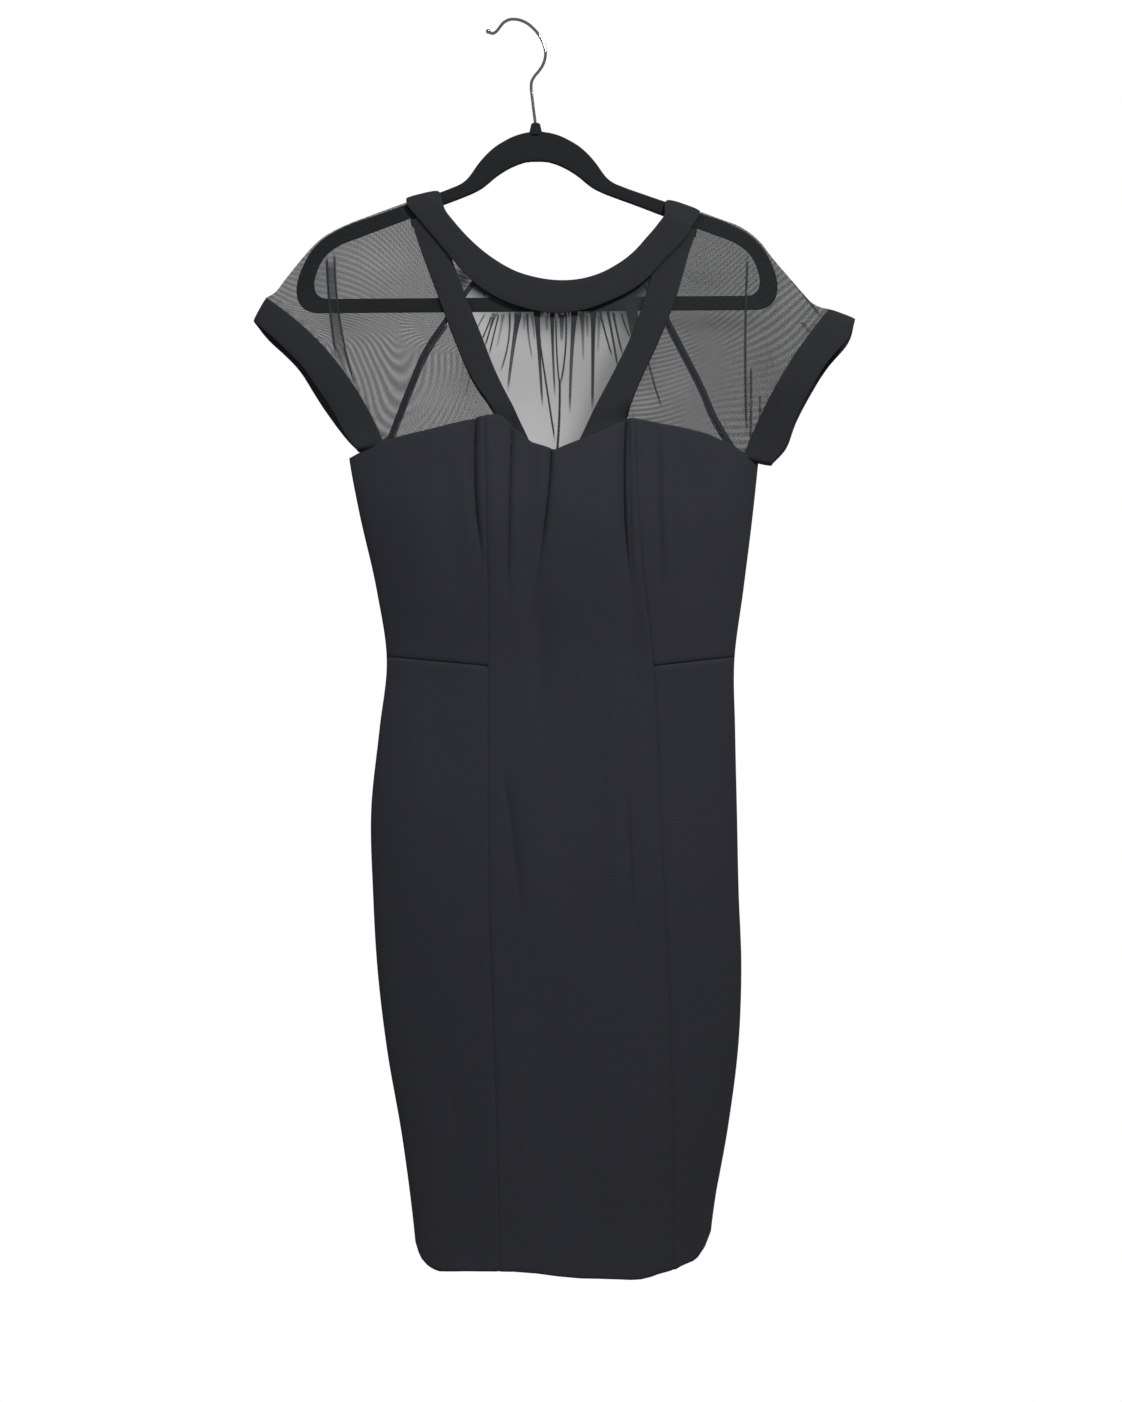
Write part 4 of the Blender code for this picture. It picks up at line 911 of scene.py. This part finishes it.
# %% Sleeve tables
SHOULDERS = {
    "left": (
        (-170, 196), (-178.5, 201.2), (-187, 208.6), (-197, 219.6), (-213.5, 240),
        (-224, 253), (-232.3, 258),
    ),
    "right": (
        (206, 189.8), (219.5, 198), (229, 206.6), (236.5, 216.6), (244.1, 226),
        (252.8, 236), (268.4, 254), (276, 262), (284, 266.3), (292.7, 268.2),
    ),
}
CUFFS = {
    "left": {"top": (-243.3, 278.7), "foot": (-146.0, 400.0), "seam": (14.0, 8.0)},
    "right": {"top": (316.3, 276.9), "foot": (238.7, 412.9), "seam": (7.5, 5.5)},
}
CUFF_EDGES = (
    ("along", "front_left", "back_left", "front_right", "back_right"),
    (0, 0, 0, 0, 0), (0.05, -1, 0.7, 1.8, 3.8), (0.09, -1.9, 0.9, 3.2, 5.8),
    (0.13, -3, 1, 3.6, 7), (0.185, -4.6, -0.4, 2.2, 5.8), (0.26, -6, -2.4, -0.9, 2.7),
    (0.33, -7.4, -3.8, -2.8, 0.9), (0.42, -8.8, -4.2, -3.6, 0), (0.5, -8, -2.2, -3.7, 0),
    (0.565, -6.8, -1, -3.8, -0.1), (0.65, -6.2, 0.5, -3.1, 0.3), (0.72, -5.2, 1.1, -2.2, 1),
    (0.79, -2.8, 1.6, 0, 3.2), (0.84, -1.2, 1.9, 2.2, 5), (0.88, -0.2, 1.9, 2.6, 5),
    (0.94, 0.4, 1.4, 1.3, 2.7), (1, 0, 0, 0, 0),
)
BACK_FROM = {"left": 0.27, "right": 0.225}
# Painted shade: every sleeve and back yoke net is closed at least this much, more on the right, for the shadow behind
# it.
SLEEVE_PAINTED_SHADE = {"left": 0.05, "right": 0.10}
STRAP_FROM = 0.52
MESH_WRAP, MESH_END = 4.6, 3.0
BESIDE_BAND, NECK_TUCK = 1.2, 7.0
CUFF_DEPTH, CUFF_LEAST = 13.0, 5.0

SLEEVE_LINES = {
    "left": (
        GATHERS[0],
        (-174.5, 228, -171.3, 272, -163.8, 322, 0.5, 0.5, 0.45, 0.55),
        (-167.5, 226, -163.6, 272, -145, 350, 0.4, 0.4, 0.3, 0.5),
        (-171, 232, -167.5, 272, -155.5, 335, 3.2, 4.6, 0.27, 0),
    ),
    "right": (
        GATHERS[0],
        (215.6, 232, 213.6, 320, 215.4, 396, 0.35, 0.45, 0.3, 0.55),
        (218.9, 328, 218.9, 366, 218.9, 400, 0.3, 0.4, 0.3, 0.45),
        (216.8, 330, 217, 366, 217, 400, 1.6, 2, 0.14, 0),
        (227, 352, 227.2, 364, 227.4, 380, 0.4, 0.3, 0.2, 0.4),
        (258, 243, 271, 259, 285, 278, 0.5, 0.4, 0.4, 0.6),
        (266, 282, 270, 287, 276, 295, 0.4, 0.3, 0.3, 0.4),
        (232, 296, 237, 316, 246, 340, 0.8, 0.5, 0.12, 0.12),
    ),
}


def pushed(start, end, push, t):
    """A point at t between start and end, pushed sideways."""
    dx, dz = end[0] - start[0], end[1] - start[1]
    long = math.hypot(dx, dz)
    return start[0] + dx * t + dz / long * push, start[1] + dz * t - dx / long * push


# %% Sleeve surface
def sleeve_edges(name, side):
    """The four edges of one face of a sleeve: its ridge, its raglan seam, its neck edge and its cuff edge."""
    sign, front = SIGNS[name], side == "front"
    rise = MESH_WRAP - HANGER_THICK / 2 + 0.3
    neck_end = SHOULDER_EDGES[name][1] - sign * BESIDE_BAND
    on_arm = [(x, float(hanger_top(x)) - rise) for x in np.linspace(neck_end, SHOULDERS[name][0][0], 5)[:-1]]
    ridge = reader(on_arm + list(SHOULDERS[name]))
    seam_from = 0.0 if front else BACK_FROM[name]
    if front:
        under_band = []
        for degrees in (a if sign < 0 else 180 - a for a in (18, 30, 42)):
            turn = math.radians(degrees)
            out = neck_width(turn) / 2 + neck_outer(degrees) - NECK_TUCK
            under_band.append(beside(neck_middle, turn, out))
    else:
        outer_x, outer_z = (curve(STRAPS[name], key) for key in ("outer_across", "outer_below"))
        under_band = [(outer_x(a) - sign * NECK_TUCK, outer_z(a)) for a in (0.08, 0.2, 0.36)]
    under_arm = (neck_end, float(hanger_top(neck_end)) + BAND_WRAP)
    neck = reader([ridge(0), under_arm, *under_band, raglan_line(name, seam_from, -SEAM_LAP)])
    corner = raglan_line(name, 1.0, -SEAM_LAP)
    bow = -sign * CUFFS[name]["seam"][0 if front else 1]

    def seam(s):
        return raglan_line(name, mix(seam_from, 1.0, s), -SEAM_LAP)

    return ridge, seam, neck, lambda t: pushed(SHOULDERS[name][-1], corner, bow * 4 * t * (1 - t), t)


def sleeve_half(name, side, s, f):
    """Points of one face of a sleeve: s runs from neck to cuff, f from the ridge to the raglan seam."""
    ridge, seam, neck, cuff = sleeve_edges(name, side)
    front = side == "front"
    x, z = coons(ridge, seam, neck, cuff, s, f)
    drop = z - ridge(s)[1]
    bend = np.sqrt(np.maximum(MESH_WRAP**2 - np.maximum(MESH_WRAP - drop, 0) ** 2, 0.0)) / MESH_WRAP
    open_depth = mix(CUFF_LEAST, CUFF_DEPTH, np.sin(np.pi * f))
    out = mix(depth_at(side, x, z) + NET_LIFT, open_depth, s**3 * (1 - f**4))
    out = np.maximum(out, mix(MESH_WRAP, MESH_END, ease((f - 0.4) / 0.2))) * (1 - 0.28 * (1 - ease(s / 0.05)))
    marks = crease_marks(SLEEVE_LINES[name], x, z) if front else np.zeros_like(x)
    out = out + 0.6 * marks * bend
    gathers = (0.5 + 0.5 * np.sin(f * 95 + 2 * np.sin(f * 17))) * np.exp(-(1 - s) * 22)
    from_seam = SEAM_LAP - np.hypot(x - seam(s)[0], z - seam(s)[1])
    seam_marks = (1.0 if front else 0.5) * near_seam(from_seam, SEAM_HALF[name])
    marks = np.maximum.reduce([marks, 0.20 * gathers, seam_marks, np.full_like(x, SLEEVE_PAINTED_SHADE[name])])
    if front:
        # The front face takes the patches of painted shade and painted light.
        marks = marks + painted_net_shade(x, z)
    return np.stack([x, (-out if front else out) * bend, -z], -1), marks, beat_of(name, x, z)


s, f = np.meshgrid(spread(176), spread(104) ** 1.1)
for name in SIGNS:
    halves = zip(sleeve_half(name, "back", s, f), sleeve_half(name, "front", s, f))
    points, marks, phase = (np.concatenate([behind[::-1], before[1:]]) for behind, before in halves)
    flip = name == "right"
    cloth(f"sleeve_{name}_net", points, NET_THICK, net, f"sleeve_{name}", flip=flip, doubled=marks, beat=phase)


# %% Back yokes
u, v = np.meshgrid(spread(60), spread(80))
for name in SIGNS:
    seam_x, seam_z = raglan_line(name, mix(BACK_FROM[name] + 0.02, 1.0, v), SEAM_LAP)
    outer_x, outer_z, inner_x, inner_z = (curve(STRAPS[name], key)(mix(STRAP_FROM, 1.0, v)) for key in STRAP[1:])
    x, z = mix(seam_x, mix(outer_x, inner_x, 0.3), u), mix(seam_z, mix(outer_z, inner_z, 0.3), u)
    at_foot = ease((v - 0.9) / 0.1) * ease(u / 0.12)
    z = mix(z, back_top(x) + TUCK, at_foot)
    seam_marks = 0.5 * near_seam(np.abs(x - seam_x) * 0.86 - SEAM_LAP, SEAM_HALF[name])
    marks = np.maximum(seam_marks, SLEEVE_PAINTED_SHADE[name])
    points = on_body("back", x, z, NET_LIFT - NET_SINK)
    flip, phase = name == "left", beat_of(name, x, z)
    cloth(f"back_yoke_{name}_net", points, NET_THICK, net, f"yoke_back_{name}", flip=flip, doubled=marks, beat=phase)

# %% [markdown]
# ## Cuffs
#
# A cuff is a band of doubled crepe that closes the sleeve's end. It is stiffer than the net, so it stands open as a
# flat ring and its lower end, under the arm, makes a blunt tip.


# %% Cuffs
def cuff_loop(name):
    """Inner and outer edge of the cuff, round the loop from its top over the front, under the arm and up the back."""
    half = spread(56, 0.6)
    s, f = np.ones((len(half), 1)), half[:, None]
    front, back = (sleeve_half(name, side, s, f)[0][:, 0] for side in ("front", "back"))
    under = [mix(front[-1], back[-1], f) for f in spread(10, 0.6)[1:-1]]
    inner = np.concatenate([front, under, back[::-1]])
    flat = []
    for side, ts in (("front", half), ("front", [1.0] * len(under)), ("back", half[::-1])):
        push = curve(CUFF_EDGES, f"{side}_{name}")
        flat += [pushed(CUFFS[name]["top"], CUFFS[name]["foot"], SIGNS[name] * push(t), t) for t in ts]
    flat = np.array(flat)
    return inner, np.stack([flat[:, 0], inner[:, 1] * 1.08, -flat[:, 1]], -1)


for name, sign in SIGNS.items():
    inner, outer = cuff_loop(name)
    v = spread(16, 0.6)[:, None, None]
    points = mix(inner[None], outer[None], v)
    for _ in range(8):
        points = (np.roll(points, 1, 1) + 2 * points + np.roll(points, -1, 1)) / 4
    points = np.concatenate([points, points[:, :1]], axis=1)
    points = points - sign * normals_of(points) * CUFF_CROWN * crown(v)
    points[:, -1] = points[:, 0]
    flip = name == "right"
    cloth(f"cuff_{name}_cloth", points, CUFF_THICK, crepe_painted_shade, f"cuff_{name}", flip=flip, ring=True)

# %% [markdown]
# ## Hanger
#
# A slim hanger is one flat plastic frame, about 5.5 mm thick with rounded edges, dipped in flock. Its outline is a
# closed curve with a bevelled extrusion, and the short neck that takes the hook is a turned cone joined to it.


# %% Hard piece helpers
def bent(name, loops, cyclic, **settings):
    """A solid from a bevelled curve through loops of points, each across and up in millimetres."""
    made = bpy.data.curves.new(name, "CURVE")
    made.dimensions = "2D" if cyclic else "3D"
    for key, value in settings.items():
        setattr(made, key, value)
    for loop in loops:
        line = made.splines.new("POLY")
        line.points.add(len(loop) - 1)
        line.use_cyclic_u = cyclic
        for spot, (x, up) in zip(line.points, loop):
            spot.co = (x * MM, up * MM, 0.0, 1.0)
    obj = link(name, made)
    obj.rotation_euler = (math.pi / 2, 0.0, 0.0)
    bpy.context.view_layer.update()
    mesh = bpy.data.meshes.new_from_object(obj.evaluated_get(bpy.context.evaluated_depsgraph_get()))
    mesh.transform(obj.matrix_world)
    work = bmesh.new()
    work.from_mesh(mesh)
    bmesh.ops.remove_doubles(work, verts=work.verts, dist=1e-6)
    bmesh.ops.recalc_face_normals(work, faces=work.faces)
    work.to_mesh(mesh)
    work.free()
    bpy.data.objects.remove(obj)
    return link(name, mesh)


def finish_hard(piece, other, solver, material, angle, node):
    """Joins a second solid to a piece, gives it its finish and puts it in place of a node of the plain model."""
    bpy.ops.object.select_all(action="DESELECT")
    bpy.context.view_layer.objects.active = piece
    piece.select_set(True)
    join = piece.modifiers.new("Join", "BOOLEAN")
    join.operation, join.object, join.solver = "UNION", other, solver
    bpy.ops.object.modifier_apply(modifier="Join")
    bpy.data.objects.remove(other)
    piece.data.materials.clear()
    piece.data.materials.append(material)
    piece.data.shade_smooth()
    bpy.ops.object.shade_smooth_by_angle(angle=math.radians(angle))
    bpy.ops.object.select_all(action="DESELECT")
    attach(piece, "dress")
    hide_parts(node)
    print(piece.name, "faces", len(piece.data.polygons))


# %% Hanger
HANGER_EDGE = 1.9
NECK_FOOT, NECK_TOP, HOOK_FOOT = 107.0, 94.8, 19.2


def both_halves(half):
    """Both sides of the hanger, which hangs a little off level."""
    right = [(HANGER_CENTRE + out, HANGER_TILT * out - below) for out, below in half]
    left = [(HANGER_CENTRE - out, -HANGER_TILT * out - below) for out, below in half[::-1]]
    return right + left


loops = []
for table, count in ((HANGER_OUTER, 110), (HANGER_INNER, 90)):
    loops.append(both_halves(np.stack(reader(table[1:], count)(np.linspace(0, 1, count)), -1)))
edge, flat = HANGER_EDGE * MM, (HANGER_THICK / 2 - HANGER_EDGE) * MM
shape = {"fill_mode": "BOTH", "extrude": flat, "offset": -edge, "bevel_depth": edge, "bevel_resolution": 4}
hanger = bent("flocked_hanger", loops, True, **shape)

tall, middle = (NECK_FOOT - NECK_TOP) * MM, (HOOK_FOOT * MM, 0.0, -(NECK_FOOT + NECK_TOP) / 2 * MM)
bpy.ops.mesh.primitive_cone_add(vertices=48, radius1=0.0067, radius2=0.0034, depth=tall, location=middle)
neck = bpy.context.object
bpy.ops.object.transform_apply(location=True)
bpy.ops.object.mode_set(mode="EDIT")
bpy.ops.mesh.select_all(action="SELECT")
bpy.ops.transform.resize(value=(1.0, 0.75, 1.0))
bpy.ops.mesh.select_all(action="DESELECT")
bpy.ops.mesh.edges_select_sharp(sharpness=math.radians(50))
bpy.ops.mesh.bevel(offset=0.0016, segments=4)
bpy.ops.object.mode_set(mode="OBJECT")
finish_hard(hanger, neck, "MANIFOLD", flock, 40, "hanger")

# %% [markdown]
# ## Hook
#
# The hook is one steel wire, bent round and ended in a small ball so that it can't scratch, and chromed. A wire is a
# curve with a round bevel, and its points are read from a smooth line through a few measured ones.

# %% Hook
HOOK = (
    ("across", "below"),
    (19.4, 107), (18.8, 95), (17.2, 82), (15.8, 70), (15, 61.5), (15.5, 56.4), (17.9, 51.8), (22.6, 46),
    (25.8, 41), (27.7, 35.6), (28.4, 30.4), (27, 22.4), (22.6, 13.6), (16.2, 6), (8.6, 0.6), (0, -1.7),
    (-6.4, -1), (-11.2, 2), (-14.6, 6.2), (-17.6, 9.8), (-20.4, 11.4), (-23.2, 10.9), (-25, 9.6),
)
WIRE, BALL = 2.7, 4.4
xs, zs = reader(HOOK[1:], 400)(np.linspace(0, 1, 170))
shape = {"bevel_depth": WIRE / 2 * MM, "bevel_resolution": 6, "use_fill_caps": True}
hook = bent("chromed_hook", [list(zip(xs, -zs))], False, **shape)
end = (xs[-1] * MM, 0.0, -zs[-1] * MM)
bpy.ops.mesh.primitive_uv_sphere_add(segments=32, ring_count=20, radius=BALL / 2 * MM, location=end)
ball = bpy.context.object
bpy.ops.object.transform_apply(location=True)
finish_hard(hook, ball, "EXACT", chrome, 50, "hook")

# %% [markdown]
# ## Zip
#
# The back closes with a zip under the meeting edges of the two back panels. The tape, slider and tab keep their plain
# shapes and get their own finishes.

# %% Zip finishes
for node, material in (("zip_tape", tape), ("zip_slider", enamel), ("zip_pull", enamel)):
    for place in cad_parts[node].material_slots:
        place.material = material
print("zip nodes finished")

# %% [markdown]

# %% [markdown]
# ## Light, floor and camera
#
# A plain white surround, soft light from the front and right, and a small pale floor far below. The camera looks
# straight at the dress from 1.8 m, level with its waist.

# %% Stage, light and camera
CAMERA_AWAY, FRAME_TALL, SENSOR_TALL = 1.8, 1.3053, 24.0
CENTRE = Vector((0.0428, 0.0, -0.633))
LIT_POINT = Vector((0.04, 0.0, -0.6))

bpy.ops.mesh.primitive_circle_add(vertices=96, radius=0.34, fill_type="NGON", location=(0.04, 0.0, -1.45))
floor = bpy.context.object
floor.name = "floor"
bpy.ops.object.transform_apply(location=True)
floor.data.materials.append(finish("pale_floor_paint", Base_Color="#f2f2f0", Roughness=0.8)[0])
floor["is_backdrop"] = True

world = bpy.data.worlds.new("studio")
bpy.context.scene.world = world
world.use_nodes = True
sky = world.node_tree
seen = sky.nodes["Background"]
give(seen, "Color", "#ffffff")
give(seen, "Strength", 1.0)
lit = add(sky, "Background", Color=(0.98, 0.98, 1.0, 1.0), Strength=0.22)
path = add(sky, "LightPath").outputs["Is Camera Ray"]
give(sky.nodes["World Output"], "Surface", add(sky, "MixShader", i0=path, i1=lit, i2=seen))

# The two wide lights leave no highlight on the polished wire, which would drown it in the white surround.
for name, place, size, power, colour in (
    ("key", (1.0, -1.75, 1.05), 0.6, 51.0, (1.0, 0.99, 0.99)),
    ("fill", (-1.3, -1.7, 0.8), 1.4, 19.0, (1.0, 1.0, 1.0)),
    ("back", (0.3, 2.0, 0.4), 1.6, 24.0, (1.0, 1.0, 1.0)),
):
    lamp = bpy.data.lights.new(name, "AREA")
    lamp.shape, lamp.size, lamp.energy, lamp.color = "DISK", size, power, colour
    light = link(name, lamp)
    light.location = place
    light.rotation_euler = (LIT_POINT - Vector(place)).to_track_quat("-Z", "Y").to_euler()
    light.visible_glossy = name == "key"

lens = bpy.data.cameras.new("camera")
lens.sensor_fit, lens.sensor_height = "VERTICAL", SENSOR_TALL
lens.lens = SENSOR_TALL * CAMERA_AWAY / FRAME_TALL
camera = link("camera", lens)
camera.location = CENTRE + Vector((0.0, -CAMERA_AWAY, 0.0))
camera.rotation_euler = (math.pi / 2, 0.0, 0.0)
bpy.context.scene.camera = camera
bpy.context.scene.view_settings.view_transform = "Standard"
print("camera focal length, mm:", round(lens.lens, 1))

# %% [markdown]
# ## The size
#
# The dressed model's box is printed beside the plain one's. The dressed model has to
# stay the size of the plain one.

# %% Write the sizes and finish
dressed_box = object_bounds()
for name, box in (("plain", cad_box), ("dressed", dressed_box)):
    print(name, "box", [[round(c, 4) for c in p] for p in box])
